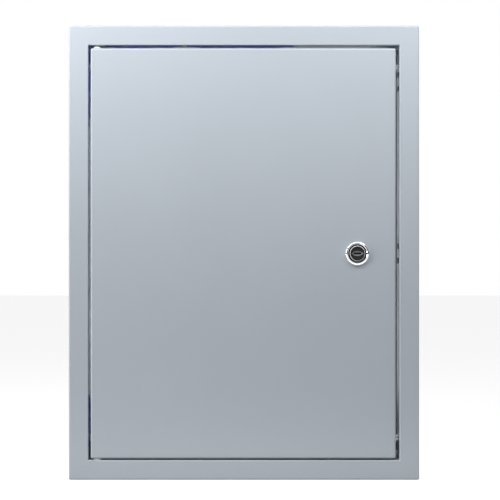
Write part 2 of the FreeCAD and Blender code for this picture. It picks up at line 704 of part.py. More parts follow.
def terminal_block(block):
    """A row of screw terminals: screw wells in the front, wire entries along one long side."""
    x0, z0, ways, entry_side = block
    width = ways * TERMINAL_PITCH
    middle = z0 + TERMINAL_H / 2
    body = box((x0, x0 + width), (TERMINAL_FRONT, BOARD_FRONT), (z0, z0 + TERMINAL_H))
    step = (middle + entry_side * (TERMINAL_H / 2 - 2.0), middle + entry_side * TERMINAL_H)
    body = body.cut(box((x0 - 1, x0 + width + 1), (TERMINAL_FRONT - 1, TERMINAL_FRONT + 4), step))
    for i in range(ways):
        x = way_x(block, i)
        entry = (middle + entry_side * 1.0, middle + entry_side * TERMINAL_H)
        body = body.cut(cyl_y(x, middle, 1.9, TERMINAL_FRONT - 1, TERMINAL_FRONT + 5))
        body = body.cut(box((x - 1.9, x + 1.9), (TERMINAL_ENTRY_Y - 2.0, TERMINAL_ENTRY_Y + 2.0), entry))
    return body


def field_terminals():
    return [terminal_block(block) for block in TERMINALS]


def terminal_screws():
    """One screw head in each well of the terminal blocks."""
    face = TERMINAL_FRONT + 3.2
    made = []
    for block in TERMINALS:
        z = block[1] + TERMINAL_H / 2
        for i in range(block[2]):
            x = way_x(block, i)
            head = cyl_y(x, z, 1.75, face, face + 1.7)
            made.append(head.cut(box((x - 2, x + 2), (face - 1, face + 0.6), (z - 0.3, z + 0.3))))
    return made


def relays():
    return [
        fillet_where(
            box((x, x + 19.0), (BOARD_FRONT - 15.5, BOARD_FRONT), (84.0, 99.5)), 0.6,
            lambda m, e: m.y < BOARD_FRONT - 0.1,
        )
        for x in (-104.0, -80.0, -56.0, -32.0)
    ]


def capacitor(x, z, r, height):
    """An electrolytic capacitor standing on a board, with its rolled groove."""
    can = cyl_y(x, z, r, BOARD_FRONT - height, BOARD_FRONT)
    top = BOARD_FRONT - height
    can = fillet_where(can, 0.6, lambda m, e: abs(m.y - top) < 1e-3 and e.Closed)
    return can.cut(ring_y(x, z, r + 1, r - 0.4, BOARD_FRONT - 3.0, BOARD_FRONT - 2.0))


def capacitors():
    small = [capacitor(20.0 + 13.0 * i, 92.0, 4.0, 11.5) for i in range(4)]
    large = [capacitor(CHARGER_X[0] + x, CHARGER_Z[1] - 26.0, 9.0, 26.0) for x in (13.0, 34.0)]
    return small + large + [capacitor(108.0, 60.0, 6.3, 16.0)]


def chips():
    """The processor, its memory and the line drivers."""
    t = 2.0
    sizes = [(38.0, 52.0, 20.0, 20.0), (70.0, 54.0, 9.0, 16.0), (86.0, 54.0, 9.0, 16.0)]
    sizes += [(-96.0 + 22.0 * i, 62.0, 9.0, 12.0) for i in range(4)]
    return [box((x, x + w), (BOARD_FRONT - t, BOARD_FRONT), (z, z + h)) for x, z, w, h in sizes]


FUSE_X = [-104.0 + 27.0 * i for i in range(5)]
FUSE_Z = 114.5
FUSE_Y = BOARD_FRONT - 4.4


def board_fuses():
    """Glass fuses lying in spring clips just under the terminal rows."""
    made = []
    for x in FUSE_X:
        made.append(cyl_x(FUSE_Y, FUSE_Z + 4.0, 2.5, x, x + 20.0))
    return made


def fuse_clips():
    made = []
    for x in FUSE_X:
        for cx in (x + 0.5, x + 15.0):
            clip = box((cx, cx + 4.5), (FUSE_Y + 0.5, BOARD_FRONT), (FUSE_Z + 0.7, FUSE_Z + 7.3))
            made.append(clip.cut(cyl_x(FUSE_Y, FUSE_Z + 4.0, 2.55, cx - 1, cx + 6)))
    return made


HEADER_X = (-46.0, -22.0)
HEADER_Z = 40.0


def ribbon_headers():
    """The two box headers that the ribbon cable plugs into."""
    lower = box(HEADER_X, (BOARD_FRONT - 9.0, BOARD_FRONT), (HEADER_Z, HEADER_Z + 8.0))
    upper = box(HEADER_X, (DISPLAY_BACK, DISPLAY_BACK + 7.0), (HEADER_Z + 22.0, HEADER_Z + 30.0))
    return [lower, upper]


def ribbon_cable():
    """A flat cable in an S from one header to the other."""
    t, x = 0.9, (HEADER_X[0] + 2.0, HEADER_X[1] - 2.0)
    start, end = BOARD_FRONT - 9.0, DISPLAY_BACK + 7.0
    z0, z1 = HEADER_Z + 4.0, HEADER_Z + 26.0
    path = [
        Vector(x[0], start, z0),
        Vector(x[0], (start + end) / 2, z0),
        Vector(x[0], (start + end) / 2, z1),
        Vector(x[0], end, z1),
    ]
    side = box(x, (path[0].y, path[1].y - t / 2), (z0 - t / 2, z0 + t / 2))
    middle = box(x, (path[1].y - t / 2, path[1].y + t / 2), (z0 - t / 2, z1 + t / 2))
    far = box(x, (path[1].y + t / 2, end), (z1 - t / 2, z1 + t / 2))
    return side.fuse([middle, far])


def heat_sink():
    """Finned aluminium on the charger board."""
    x0, z0 = CHARGER_X[1] - 30.0, CHARGER_Z[1] - 62.0
    base = box((x0, x0 + 25.0), (BOARD_FRONT - 25.0, BOARD_FRONT), (z0 + 9.0, z0 + 12.0))
    for i in range(7):
        x = x0 + i * 3.9
        base = base.fuse(box((x, x + 1.5), (BOARD_FRONT - 25.0, BOARD_FRONT), (z0, z0 + 21.0)))
    return base


# ---- control fascia -----------------------------------------------------------------------------
def button_opening(x, y0, y1, play):
    cut = box(
        (x - BUTTON_W / 2 - play, x + BUTTON_W / 2 + play), (y0, y1),
        (BUTTON_Z - BUTTON_H / 2 - play, BUTTON_Z + BUTTON_H / 2 + play),
    )
    return fillet_where(cut, 1.5, lambda m, e: runs_along_y(e))


def sounder_holes():
    places = [(SOUNDER[0], SOUNDER[1])]
    for count, r in ((6, 3.6), (12, 7.2)):
        for i in range(count):
            angle = 2 * math.pi * i / count
            places.append((SOUNDER[0] + r * math.cos(angle), SOUNDER[1] + r * math.sin(angle)))
    return places


def pierce_controls(plate, y0, y1):
    """Cuts the lamp, button, keyswitch and sounder openings through a plate between two depths."""
    cutters = [cyl_y(x, z, LAMP_HOLE_R, y0, y1) for x, z in FIRE_LAMPS + FAULT_LAMPS + [POWER_LAMP]]
    cutters += [button_opening(x, y0, y1, BUTTON_PLAY) for x in BUTTONS.values()]
    cutters.append(cyl_y(KEYSWITCH[0], KEYSWITCH[1], 6.15, y0, y1))
    cutters += [cyl_y(x, z, 1.0, y0, y1) for x, z in sounder_holes()]
    return plate.cut(cutters)


def control_fascia():
    plate = pan((-FASCIA_HALF_W, FASCIA_HALF_W), (FASCIA_Z0, FASCIA_Z1), FASCIA_FRONT, FASCIA_DEPTH, SHEET)
    plate = plate.cut([cyl_y(x, z, M4_R + 0.25, FASCIA_FRONT - 1, FASCIA_BACK + 1) for x, z in PILLARS])
    return pierce_controls(plate, FASCIA_FRONT - 1, FASCIA_BACK + 1)


def fascia_overlay():
    """The printed plastic sheet on the fascia."""
    sheet = box((-OVERLAY_HALF_W, OVERLAY_HALF_W), (OVERLAY_FRONT, FASCIA_FRONT), OVERLAY_Z)
    sheet = fillet_where(sheet, 3.0, lambda m, e: runs_along_y(e))
    return pierce_controls(sheet, OVERLAY_FRONT - 1, FASCIA_FRONT + 1)


def fascia_pillars():
    """Hexagonal pillars with a tapped hole in the front end."""
    made = []
    for x, z in PILLARS:
        tapped = cyl_y(x, z, M4_R + 0.05, FASCIA_BACK - 1, FASCIA_BACK + 10)
        made.append(hex_y(x, z, 6.0, FASCIA_BACK, PLATE_FRONT).cut(tapped))
    return made


def inner_screws():
    """The four screws of the fascia and the two that hold the transformer's feet."""
    fascia = [screw_y(x, z, FASCIA_FRONT, 8.0) for x, z in PILLARS]
    seat = PLATE_FRONT - SHEET
    feet = [screw_y(x, CORE_Z, seat, 5.0) for x in TRANSFORMER_SCREW_X]
    return fascia + feet


def lamp(x, z):
    """A 5 mm indicator lamp standing on the display board."""
    tip = FASCIA_FRONT - 2.2
    body = cyl_y(x, z, LAMP_R, tip, DISPLAY_FRONT)
    body = fillet_where(body, 1.9, lambda m, e: abs(m.y - tip) < 1e-3 and e.Closed)
    return body.fuse(cyl_y(x, z, 2.9, DISPLAY_FRONT - 1.0, DISPLAY_FRONT))


def display_board():
    made = board((-DISPLAY_HALF_W, DISPLAY_HALF_W), DISPLAY_Z, DISPLAY_BACK, [], 0)
    return made.cut(cyl_y(KEYSWITCH[0], KEYSWITCH[1], 8.0, DISPLAY_FRONT - 1, DISPLAY_BACK + 1))


def tactile_switches():
    made = []
    for x in BUTTONS.values():
        base = box((x - 3, x + 3), (DISPLAY_FRONT - 2.0, DISPLAY_FRONT), (BUTTON_Z - 3, BUTTON_Z + 3))
        made.append(base.fuse(cyl_y(x, BUTTON_Z, 1.7, SWITCH_TOP, DISPLAY_FRONT - 2.0)))
    return made


def button(x):
    """A push button: a rounded key with a flange that keeps it behind the fascia."""
    front = OVERLAY_FRONT - BUTTON_PROUD
    key = box(
        (x - BUTTON_W / 2, x + BUTTON_W / 2), (front, FASCIA_BACK + 0.5),
        (BUTTON_Z - BUTTON_H / 2, BUTTON_Z + BUTTON_H / 2),
    )
    key = fillet_where(key, 1.3, lambda m, e: runs_along_y(e))
    key = fillet_where(key, 0.7, lambda m, e: abs(m.y - front) < 1e-3)
    flange = box(
        (x - BUTTON_W / 2 - 1.6, x + BUTTON_W / 2 + 1.6), (FASCIA_BACK + 0.1, FASCIA_BACK + 1.0),
        (BUTTON_Z - BUTTON_H / 2 - 1.6, BUTTON_Z + BUTTON_H / 2 + 1.6),
    )
    return key.fuse(flange)


def sounder():
    """The internal buzzer, a thin drum on the display board."""
    drum = cyl_y(SOUNDER[0], SOUNDER[1], SOUNDER_R, DISPLAY_FRONT - 4.4, DISPLAY_FRONT)
    return drum.cut(cyl_y(SOUNDER[0], SOUNDER[1], 1.5, DISPLAY_FRONT - 5, DISPLAY_FRONT - 3))


def keyswitch_body():
    x, z = KEYSWITCH
    front = OVERLAY_FRONT - 2.0
    bezel = cyl_y(x, z, 8.5, front, OVERLAY_FRONT)
    bezel = fillet_where(bezel, 1.0, lambda m, e: abs(m.y - front) < 1e-3 and e.Closed)
    barrel = cyl_y(x, z, 6.0, OVERLAY_FRONT, -36.0)
    body = bezel.fuse(barrel).cut(cyl_y(x, z, 4.55, front - 1, -35.0))
    nut = hex_y(x, z, 15.0, FASCIA_BACK, FASCIA_BACK + 2.5)
    return [body, nut.cut(cyl_y(x, z, 6.05, FASCIA_BACK - 1, FASCIA_BACK + 3))]


def keyswitch_core():
    x, z = KEYSWITCH
    front = OVERLAY_FRONT - 2.2
    core = cyl_y(x, z, 4.5, front, -35.0)
    return core.cut(box((x - 0.8, x + 0.8), (front - 1, front + 9), (z - 3.0, z + 3.0)))


# ---- power parts --------------------------------------------------------------------------------
def transformer_core():
    """A laminated core with two windows."""
    hx, hy, hz = CORE_HALF
    core = box((CORE_X - hx, CORE_X + hx), (CORE_Y - hy, CORE_Y + hy), (CORE_Z - hz, CORE_Z + hz))
    window_half = COIL_HALF[2] + 0.4
    for side in (-1, 1):
        x = (CORE_X + side * LEG_HALF_W, CORE_X + side * (COIL_HALF[0] + 0.4))
        y = (CORE_Y - hy - 1, CORE_Y + hy + 1)
        core = core.cut(box(x, y, (CORE_Z - window_half, CORE_Z + window_half)))
    return core


def transformer_coil():
    """The taped winding on its bobbin, round the middle leg."""
    hx, hy, hz = COIL_HALF
    coil = box((CORE_X - hx, CORE_X + hx), (CORE_Y - hy, CORE_Y + hy), (CORE_Z - hz, CORE_Z + hz))

    def is_corner(m, e):
        return abs(abs(m.x - CORE_X) - hx) < 1e-3 and abs(abs(m.y - CORE_Y) - hy) < 1e-3

    leg_x = LEG_HALF_W + 0.2
    leg_y = CORE_HALF[1] + 0.2
    leg_z = hz + 1.0
    leg = box((CORE_X - leg_x, CORE_X + leg_x), (CORE_Y - leg_y, CORE_Y + leg_y), (CORE_Z - leg_z, CORE_Z + leg_z))
    return fillet_where(coil, 4.0, is_corner).cut(leg)


def transformer_feet():
    """Angle brackets that hold the core on the gear plate."""
    made = []
    z = (CORE_Z - 18, CORE_Z + 18)
    holes = [cyl_y(x, CORE_Z, M4_R + 0.2, PLATE_FRONT - 5, PLATE_BACK + 5) for x in TRANSFORMER_SCREW_X]
    for side in (-1, 1):
        inner = CORE_X + side * CORE_HALF[0]
        leg = box((inner, inner + side * SHEET), (CORE_Y - CORE_HALF[1], PLATE_FRONT), z)
        foot = box((inner, inner + side * 13.0), (PLATE_FRONT - SHEET, PLATE_FRONT), z)
        made.append(leg.fuse(foot).cut(holes))
    return made


def pole_x(pole):
    """The middle of one pole of the mains block."""
    return MAINS_X[0] + (pole + 0.5) * (MAINS_X[1] - MAINS_X[0]) / MAINS_POLES


def mains_terminal():
    """The mains terminal block: separate towers on a moulded base."""
    base = box(MAINS_X, (PLATE_FRONT - 6.0, PLATE_FRONT), MAINS_Z)
    half = (MAINS_X[1] - MAINS_X[0]) / MAINS_POLES / 2 - 0.6
    for i in range(MAINS_POLES):
        x = pole_x(i)
        tower_z = (MAINS_Z[0] + 2, MAINS_Z[1] - 2)
        tower = box((x - half, x + half), (MAINS_FRONT, PLATE_FRONT - 6.0), tower_z)
        for z in (MAINS_Z[0] + 7.0, MAINS_Z[1] - 7.0):
            tower = tower.cut(cyl_y(x, z, 2.3, MAINS_FRONT - 1, MAINS_FRONT + 4))
        entry = cyl_z(x, MAINS_ENTRY_Y, 1.9, MAINS_Z[1] - 6.0, MAINS_Z[1] + 1)
        base = base.fuse(tower.cut(entry))
    return base


def fuse_carrier():
    """The screw-cap carrier of the mains fuse, beside the terminal block."""
    x, z = MAINS_X[0] + 12.0, MAINS_Z[1] + 20.0
    body = cyl_y(x, z, 7.0, PLATE_FRONT - 22.0, PLATE_FRONT)
    cap = hex_y(x, z, 15.5, PLATE_FRONT - 30.0, PLATE_FRONT - 22.0)
    return [body, cap.cut(box((x - 5, x + 5), (PLATE_FRONT - 31, PLATE_FRONT - 28.5), (z - 0.8, z + 0.8)))]


def battery(x0):
    """A sealed block with a lid step and a recessed top."""
    width, depth, _ = BATTERY
    y = (BATTERY_FRONT, BATTERY_FRONT + depth)
    body = box((x0 + 0.5, x0 + width - 0.5), (y[0] + 0.5, y[1] - 0.5), (BATTERY_Z0, BATTERY_TOP - 12.0))
    lid = box((x0, x0 + width), y, (BATTERY_TOP - 12.0, BATTERY_TOP))
    lid = fillet_where(lid, 1.5, lambda m, e: abs(m.z - BATTERY_TOP) < 1e-3)
    return body.fuse(lid)


LEFT_BATTERY_X = -BATTERY[0] - BATTERY_GAP / 2
RIGHT_BATTERY_X = BATTERY_GAP / 2
TABS = [
    x0 + dx
    for x0 in (LEFT_BATTERY_X, RIGHT_BATTERY_X)
    for dx in (TAB_INSET, BATTERY[0] - TAB_INSET)
]


def battery_tabs():
    """Blade terminals on small bosses."""
    made = []
    for x in TABS:
        boss_top = BATTERY_TOP + 1.2
        boss = box((x - 4.5, x + 4.5), (TAB_Y - 4.5, TAB_Y + 4.5), (BATTERY_TOP, boss_top))
        blade = box((x - 2.4, x + 2.4), (TAB_Y - 0.4, TAB_Y + 0.4), (boss_top, TAB_TOP))
        made.append(boss.fuse(blade))
    return made


# ---- leads --------------------------------------------------------------------------------------
def lead_sleeve(x):
    """The insulated push-on connector over a battery tab."""
    shell = box((x - 4.2, x + 4.2), (TAB_Y - 2.2, TAB_Y + 2.2), (BATTERY_TOP + 1.4, SLEEVE_TOP))
    return shell.cut(box((x - 2.5, x + 2.5), (TAB_Y - 0.5, TAB_Y + 0.5), (BATTERY_TOP, TAB_TOP + 0.2)))


def battery_leads():
    """The right battery's outer lead, the left one's, and the link that puts the two in series."""
    x, end = TABS[3], way_x(CHARGER_TERMINAL, 3)
    right = [
        (x, TAB_Y, SLEEVE_TOP),
        (x, TAB_Y, SLEEVE_TOP + 9),
        (x - 13, TAB_Y + 3, SLEEVE_TOP + 18),
        (x - 37, TAB_Y + 7, SLEEVE_TOP + 20),
        (x - 62, TAB_Y + 12, SLEEVE_TOP + 16),
        (x - 86, TAB_Y + 19, SLEEVE_TOP + 11),
        (end + 2, TAB_Y + 29, SLEEVE_TOP + 13),
        (end, TERMINAL_ENTRY_Y, SLEEVE_TOP + 24),
        (end, TERMINAL_ENTRY_Y, CHARGER_TERMINAL[1] + 3),
    ]
    x, end = TABS[0], way_x(CHARGER_TERMINAL, 2)
    left = [
        (x, TAB_Y, SLEEVE_TOP),
        (x, TAB_Y, SLEEVE_TOP + 8),
        (x + 14, TAB_Y + 3, SLEEVE_TOP + 14),
        (x + 40, TAB_Y + 6, SLEEVE_TOP + 16),
        (x + 69, TAB_Y + 9, SLEEVE_TOP + 13),
        (x + 98, TAB_Y + 13, SLEEVE_TOP + 10),
        (x + 122, TAB_Y + 20, SLEEVE_TOP + 8),
        (end - 2, TAB_Y + 30, SLEEVE_TOP + 12),
        (end, TERMINAL_ENTRY_Y, SLEEVE_TOP + 24),
        (end, TERMINAL_ENTRY_Y, CHARGER_TERMINAL[1] + 3),
    ]
    a, b = TABS[1], TABS[2]
    link = [
        (a, TAB_Y, SLEEVE_TOP),
        (a, TAB_Y - 1, SLEEVE_TOP + 7),
        (a + 9, TAB_Y - 2, SLEEVE_TOP + 14),
        (b - 9, TAB_Y - 2, SLEEVE_TOP + 14),
        (b, TAB_Y - 1, SLEEVE_TOP + 7),
        (b, TAB_Y, SLEEVE_TOP),
    ]
    return [lead_sleeve(x) for x in TABS] + [tube(route, BATTERY_LEAD_R) for route in (right, left, link)]


def mains_lead(start_x, start_z, pole, lift):
    """From the top of the winding, along the gap between the boards, and down into a mains pole."""
    coil_front = CORE_Y - COIL_HALF[1] + 4.0
    end = pole_x(pole)
    return tube(
        [
            (start_x, coil_front, start_z),
            (start_x, coil_front, start_z + 11),
            (start_x + 10, coil_front + 8, start_z + 21 + lift),
            (start_x + 30, coil_front + 22, start_z + 26 + lift),
            (-38.0, coil_front + 29, -11.5 + lift),
            (-2.0, coil_front + 30, -9.5 + lift),
            (34.0, coil_front + 29, -10.5 + lift),
            (66.0, coil_front + 28, -13.0 + lift),
            (end - 8.0, coil_front + 28, -19.0 + lift),
            (end, coil_front + 30, -34.0),
            (end, MAINS_ENTRY_Y, -48.0),
            (end, MAINS_ENTRY_Y, MAINS_Z[1] - 3.0),
        ],
        TRANSFORMER_LEAD_R,
    )


def secondary_lead(start_x, way, drop):
    """From the foot of the winding down and across to the charger board."""
    coil_front = CORE_Y - COIL_HALF[1] + 4.0
    z = CORE_Z - COIL_HALF[2]
    end = way_x(CHARGER_TERMINAL, way)
    return tube(
        [
            (start_x, coil_front, z),
            (start_x, coil_front, z - 9.0 - drop),
            (start_x + 9.0, coil_front + 3.0, z - 19.0 - drop),
            (start_x + 30.0, coil_front + 8.0, z - 24.0 - drop),
            (start_x + 56.0, coil_front + 17.0, z - 29.0 - drop),
            (end - 3.0, coil_front + 25.0, z - 32.0 - drop),
            (end, TERMINAL_ENTRY_Y, z - 26.0),
            (end, TERMINAL_ENTRY_Y, CHARGER_TERMINAL[1] + 3.0),
        ],
        TRANSFORMER_LEAD_R,
    )


def transformer_leads():
    """Two mains leads to the mains block and two low-voltage leads to the charger board."""
    top = CORE_Z + COIL_HALF[2]
    return [
        mains_lead(CORE_X - 14.0, top, 2, 0.0),
        mains_lead(CORE_X - 9.0, top, 3, 3.4),
        secondary_lead(CORE_X + 15.0, 1, 0.0),
        secondary_lead(CORE_X + 10.5, 0, 3.4),
    ]


# ---- earth studs --------------------------------------------------------------------------------
def box_earth_stud():
    """The welded stud on the box's side wall, with its washer and nut."""
    x, y, z = BOX_STUD
    stud = cyl_x(y, z, STUD_R, x, x + 14.0)
    washer = cyl_x(y, z, 5.0, x, x + 1.0)
    nut = hex_y(0, 0, EARTH_NUT, 0, 4.0)
    nut.rotate(Vector(0, 0, 0), Vector(0, 0, 1), -90)
    nut.translate(Vector(x + 1.0, y, z))
    return stud.fuse([washer, nut])


def door_earth_stud():
    """The same stud on the inside of the door, near its hinge side."""
    x, y, z = DOOR_STUD
    stud = cyl_y(x, z, STUD_R, y, y + 10.5)
    washer = cyl_y(x, z, 5.0, y, y + 1.0)
    nut = hex_y(x, z, EARTH_NUT, y + 1.0, y + 5.0)
    return stud.fuse([washer, nut])


# ---- one STEP file per sub-part -----------------------------------------------------------------
SUB_PARTS = {
    "back_box": back_box,
    "trim_frame": trim_frame,
    "frame_brackets": frame_brackets,
    "frame_screws": frame_screws,
    "door_buffers": door_buffers,
    "door": door,
    "hinge_bracket": hinge_bracket,
    "upper_hinge_pin": upper_hinge_pin,
    "pin_spring": pin_spring,
    "lower_hinge_pin": lower_hinge_pin,
    "hinge_washers": hinge_washers,
    "lock_housing": lock_housing,
    "lock_nut": lock_nut,
    "lock_plug": lock_plug,
    "lock_cam": lock_cam,
    "cam_screw": cam_screw,
    "gear_plate": gear_plate,
    "plate_studs": plate_studs,
    "plate_nuts": plate_nuts,
    "main_board": main_board,
    "charger_board": charger_board,
    "board_supports": board_supports,
    "field_terminals": field_terminals,
    "terminal_screws": terminal_screws,
    "relays": relays,
    "capacitors": capacitors,
    "chips": chips,
    "board_fuses": board_fuses,
    "fuse_clips": fuse_clips,
    "ribbon_headers": ribbon_headers,
    "ribbon_cable": ribbon_cable,
    "heat_sink": heat_sink,
    "control_fascia": control_fascia,
    "fascia_overlay": fascia_overlay,
    "fascia_pillars": fascia_pillars,
    "inner_screws": inner_screws,
    "fire_lamps": lambda: [lamp(x, z) for x, z in FIRE_LAMPS],
    "fault_lamps": lambda: [lamp(x, z) for x, z in FAULT_LAMPS],
    "power_lamp": lambda: lamp(*POWER_LAMP),
    "display_board": display_board,
    "tactile_switches": tactile_switches,
    "sounder": sounder,
    "keyswitch_body": keyswitch_body,
    "keyswitch_core": keyswitch_core,
    "transformer_core": transformer_core,
    "transformer_coil": transformer_coil,
    "transformer_feet": transformer_feet,
    "mains_terminal": mains_terminal,
    "fuse_carrier": fuse_carrier,
    "battery_left": lambda: battery(LEFT_BATTERY_X),
    "battery_right": lambda: battery(RIGHT_BATTERY_X),
    "battery_tabs": battery_tabs,
    "battery_leads": battery_leads,
    "transformer_leads": transformer_leads,
    "box_earth_stud": box_earth_stud,
    "door_earth_stud": door_earth_stud,
}
for button_name, button_x in BUTTONS.items():
    SUB_PARTS[button_name] = lambda x=button_x: button(x)


def main():
    os.makedirs("parts", exist_ok=True)
    for name, make in SUB_PARTS.items():
        made = make()
        shape = Part.makeCompound(made) if isinstance(made, list) else made
        shape.exportStep(os.path.join("parts", name + ".step"))


main()
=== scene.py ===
"""The looks of a flush-mounted fire alarm control panel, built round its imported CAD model.

All sizes are in metres in the CAD frame: X right, Y towards the wall, Z up, origin on the box's rear face.
"""

import math
import random

import bmesh
import bpy
from mathutils import Matrix, Vector


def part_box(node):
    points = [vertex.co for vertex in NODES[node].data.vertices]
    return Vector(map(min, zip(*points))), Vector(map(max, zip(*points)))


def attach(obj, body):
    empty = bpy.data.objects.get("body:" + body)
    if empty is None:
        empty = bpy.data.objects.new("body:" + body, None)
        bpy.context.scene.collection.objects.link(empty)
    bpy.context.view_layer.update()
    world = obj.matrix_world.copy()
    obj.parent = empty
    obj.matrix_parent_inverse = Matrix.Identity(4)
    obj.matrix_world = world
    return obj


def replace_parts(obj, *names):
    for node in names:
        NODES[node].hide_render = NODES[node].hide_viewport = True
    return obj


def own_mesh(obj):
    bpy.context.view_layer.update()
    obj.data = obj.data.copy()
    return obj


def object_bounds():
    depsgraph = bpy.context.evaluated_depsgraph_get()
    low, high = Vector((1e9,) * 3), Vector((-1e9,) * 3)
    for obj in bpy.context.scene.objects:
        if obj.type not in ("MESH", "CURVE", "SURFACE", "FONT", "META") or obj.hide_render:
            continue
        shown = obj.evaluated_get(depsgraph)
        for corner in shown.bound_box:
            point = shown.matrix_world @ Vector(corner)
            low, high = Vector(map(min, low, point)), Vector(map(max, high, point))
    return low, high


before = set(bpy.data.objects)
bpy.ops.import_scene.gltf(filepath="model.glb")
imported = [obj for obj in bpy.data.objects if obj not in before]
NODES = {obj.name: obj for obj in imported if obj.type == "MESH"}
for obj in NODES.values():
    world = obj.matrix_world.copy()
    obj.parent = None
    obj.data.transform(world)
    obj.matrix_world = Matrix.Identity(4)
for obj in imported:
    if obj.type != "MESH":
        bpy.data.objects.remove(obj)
CAD_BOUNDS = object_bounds()
MM = 0.001


# ---- materials ----
class Nodes:
    """Adds and links nodes in one node tree."""

    def __init__(self, tree):
        self.tree = tree

    def add(self, kind, **settings):
        node = self.tree.nodes.new(kind)
        for key, value in settings.items():
            setattr(node, key, value)
        return node

    def link(self, output, target):
        self.tree.links.new(output, target)

    def math(self, operation, a, b):
        """One value worked out from two, the second of them a socket or a plain number."""
        node = self.add("ShaderNodeMath", operation=operation)
        self.link(a, node.inputs[0])
        if isinstance(b, float):
            node.inputs[1].default_value = b
        else:
            self.link(b, node.inputs[1])
        return node.outputs["Value"]

    def remap(self, value, low, high, start=0.3, end=0.7):
        """Runs from low to high as value runs from start to end."""
        node = self.add("ShaderNodeMapRange")
        node.inputs["From Min"].default_value = start
        node.inputs["From Max"].default_value = end
        node.inputs["To Min"].default_value = low
        node.inputs["To Max"].default_value = high
        self.link(value, node.inputs["Value"])
        return node.outputs["Result"]

    def ramp(self, value, stops):
        """A colour ramp through (position, colour) stops."""
        node = self.add("ShaderNodeValToRGB")
        elements = node.color_ramp.elements
        while len(elements) < len(stops):
            elements.new(0.5)
        for element, (position, color) in zip(elements, stops):
            element.position = position
            element.color = (*color, 1.0)
        self.link(value, node.inputs["Fac"])
        return node.outputs["Color"]


class Finish(Nodes):
    """A node material round one Principled shader, with procedural colour, roughness and bump."""

    def __init__(self, name, color, rough=0.5, metallic=0.0, **sockets):
        self.material = bpy.data.materials.new(name)
        self.material.use_nodes = True
        super().__init__(self.material.node_tree)
        self.shader = self.tree.nodes["Principled BSDF"]
        self.color = color
        self.set("Base Color", (*color, 1.0))
        self.set("Roughness", rough)
        self.set("Metallic", metallic)
        for socket, value in sockets.items():
            self.set(socket.replace("_", " ").title().replace("Ior", "IOR"), value)
        self.coordinates = self.add("ShaderNodeTexCoord").outputs["Object"]
        self.normal = None

    def set(self, socket, value):
        self.shader.inputs[socket].default_value = value

    def mapped(self, **settings):
        """Object coordinates with the given Scale or Rotation."""
        node = self.add("ShaderNodeMapping")
        for socket, value in settings.items():
            node.inputs[socket].default_value = value
        self.link(self.coordinates, node.inputs["Vector"])
        return node.outputs["Vector"]

    def texture(self, kind, source=None, inputs=(), **settings):
        """A texture node over the object's coordinates, or over the given source of them."""
        node = self.add(kind, **settings)
        for socket, value in inputs:
            node.inputs[socket].default_value = value
        self.link(source or self.coordinates, node.inputs["Vector"])
        return node

    def noise(self, scale, detail=2.0, stretch=None):
        """Fractal noise, drawn out along an axis where stretch is less than 1."""
        source = self.mapped(Scale=stretch) if stretch else None
        inputs = (("Scale", scale), ("Detail", detail))
        return self.texture("ShaderNodeTexNoise", source, inputs).outputs["Fac"]

    def bands(self, scale, distortion, **settings):
        """Parallel stripes, made uneven by the distortion."""
        inputs = (("Scale", scale), ("Distortion", distortion))
        return self.texture("ShaderNodeTexWave", None, inputs, wave_type="BANDS", **settings).outputs["Fac"]

    def tone(self, value, dark, light):
        """The base colour runs from dark to light times itself as value runs from 0 to 1."""
        ends = [[min(1.0, c * gain) for c in self.color] for gain in (dark, light)]
        self.link(self.ramp(value, list(zip((0.0, 1.0), ends))), self.shader.inputs["Base Color"])
        return self

    def roughen(self, value, low, high):
        """The roughness runs from low to high with the value."""
        self.link(self.remap(value, low, high), self.shader.inputs["Roughness"])
        return self

    def bump(self, value, depth, strength=1.0):
        """Adds relief of the given depth in metres."""
        node = self.add("ShaderNodeBump")
        node.inputs["Distance"].default_value = depth
        node.inputs["Strength"].default_value = strength
        self.link(value, node.inputs["Height"])
        if self.normal is not None:
            self.link(self.normal, node.inputs["Normal"])
        self.normal = node.outputs["Normal"]
        self.link(self.normal, self.shader.inputs["Normal"])
        return self

    def grain(self, scale, detail, depth, strength):
        """Adds relief from fractal noise."""
        return self.bump(self.noise(scale, detail), depth, strength)


def powder_coat(name, color, rough):
    """Satin powder coat: fine orange peel, a faint sparkle and very slight unevenness."""
    finish = Finish(name, color, rough, specular_ior_level=0.5)
    finish.tone(finish.remap(finish.noise(9.0, 3.0), 0.0, 1.0), 0.985, 1.015)
    finish.roughen(finish.noise(260.0, 3.0), rough - 0.04, rough + 0.05)
    finish.grain(620.0, 2.0, 0.00002, 0.6)
    return finish.grain(95.0, 1.0, 0.00003, 0.35).material


def galvanised():
    """Hot-dip galvanised sheet: large soft spangles and a fine grain."""
    finish = Finish("galvanised_sheet", (0.50, 0.52, 0.54), 0.42, 0.85)
    spangle = finish.texture("ShaderNodeTexVoronoi", inputs=(("Scale", 140.0),)).outputs["Color"]
    grey = finish.add("ShaderNodeSeparateColor")
    finish.link(spangle, grey.inputs["Color"])
    finish.tone(grey.outputs["Red"], 0.76, 1.20)
    finish.link(finish.remap(grey.outputs["Green"], 0.32, 0.55, 0.0, 1.0), finish.shader.inputs["Roughness"])
    finish.grain(700.0, 3.0, 0.00001, 0.5)
    return finish.grain(30.0, 2.0, 0.00008, 0.25).material


def plated(name, color, rough, grain=500.0):
    """Plated or bare metal, a little mottled, with a fine grain."""
    finish = Finish(name, color, rough, 1.0)
    finish.tone(finish.remap(finish.noise(150.0, 3.0), 0.0, 1.0), 0.9, 1.05)
    finish.roughen(finish.noise(grain, 4.0), rough * 0.75, rough * 1.3)
    return finish.grain(grain * 2, 2.0, 0.000008, 0.4).material


def chromed(name, rough):
    """Decorative chrome, with the faint waviness and haze of plated die-casting."""
    finish = Finish(name, (0.86, 0.87, 0.89), rough, 1.0)
    finish.roughen(finish.noise(400.0, 3.0), rough * 0.7, rough * 1.5)
    return finish.grain(160.0, 1.0, 0.000012, 0.5).material


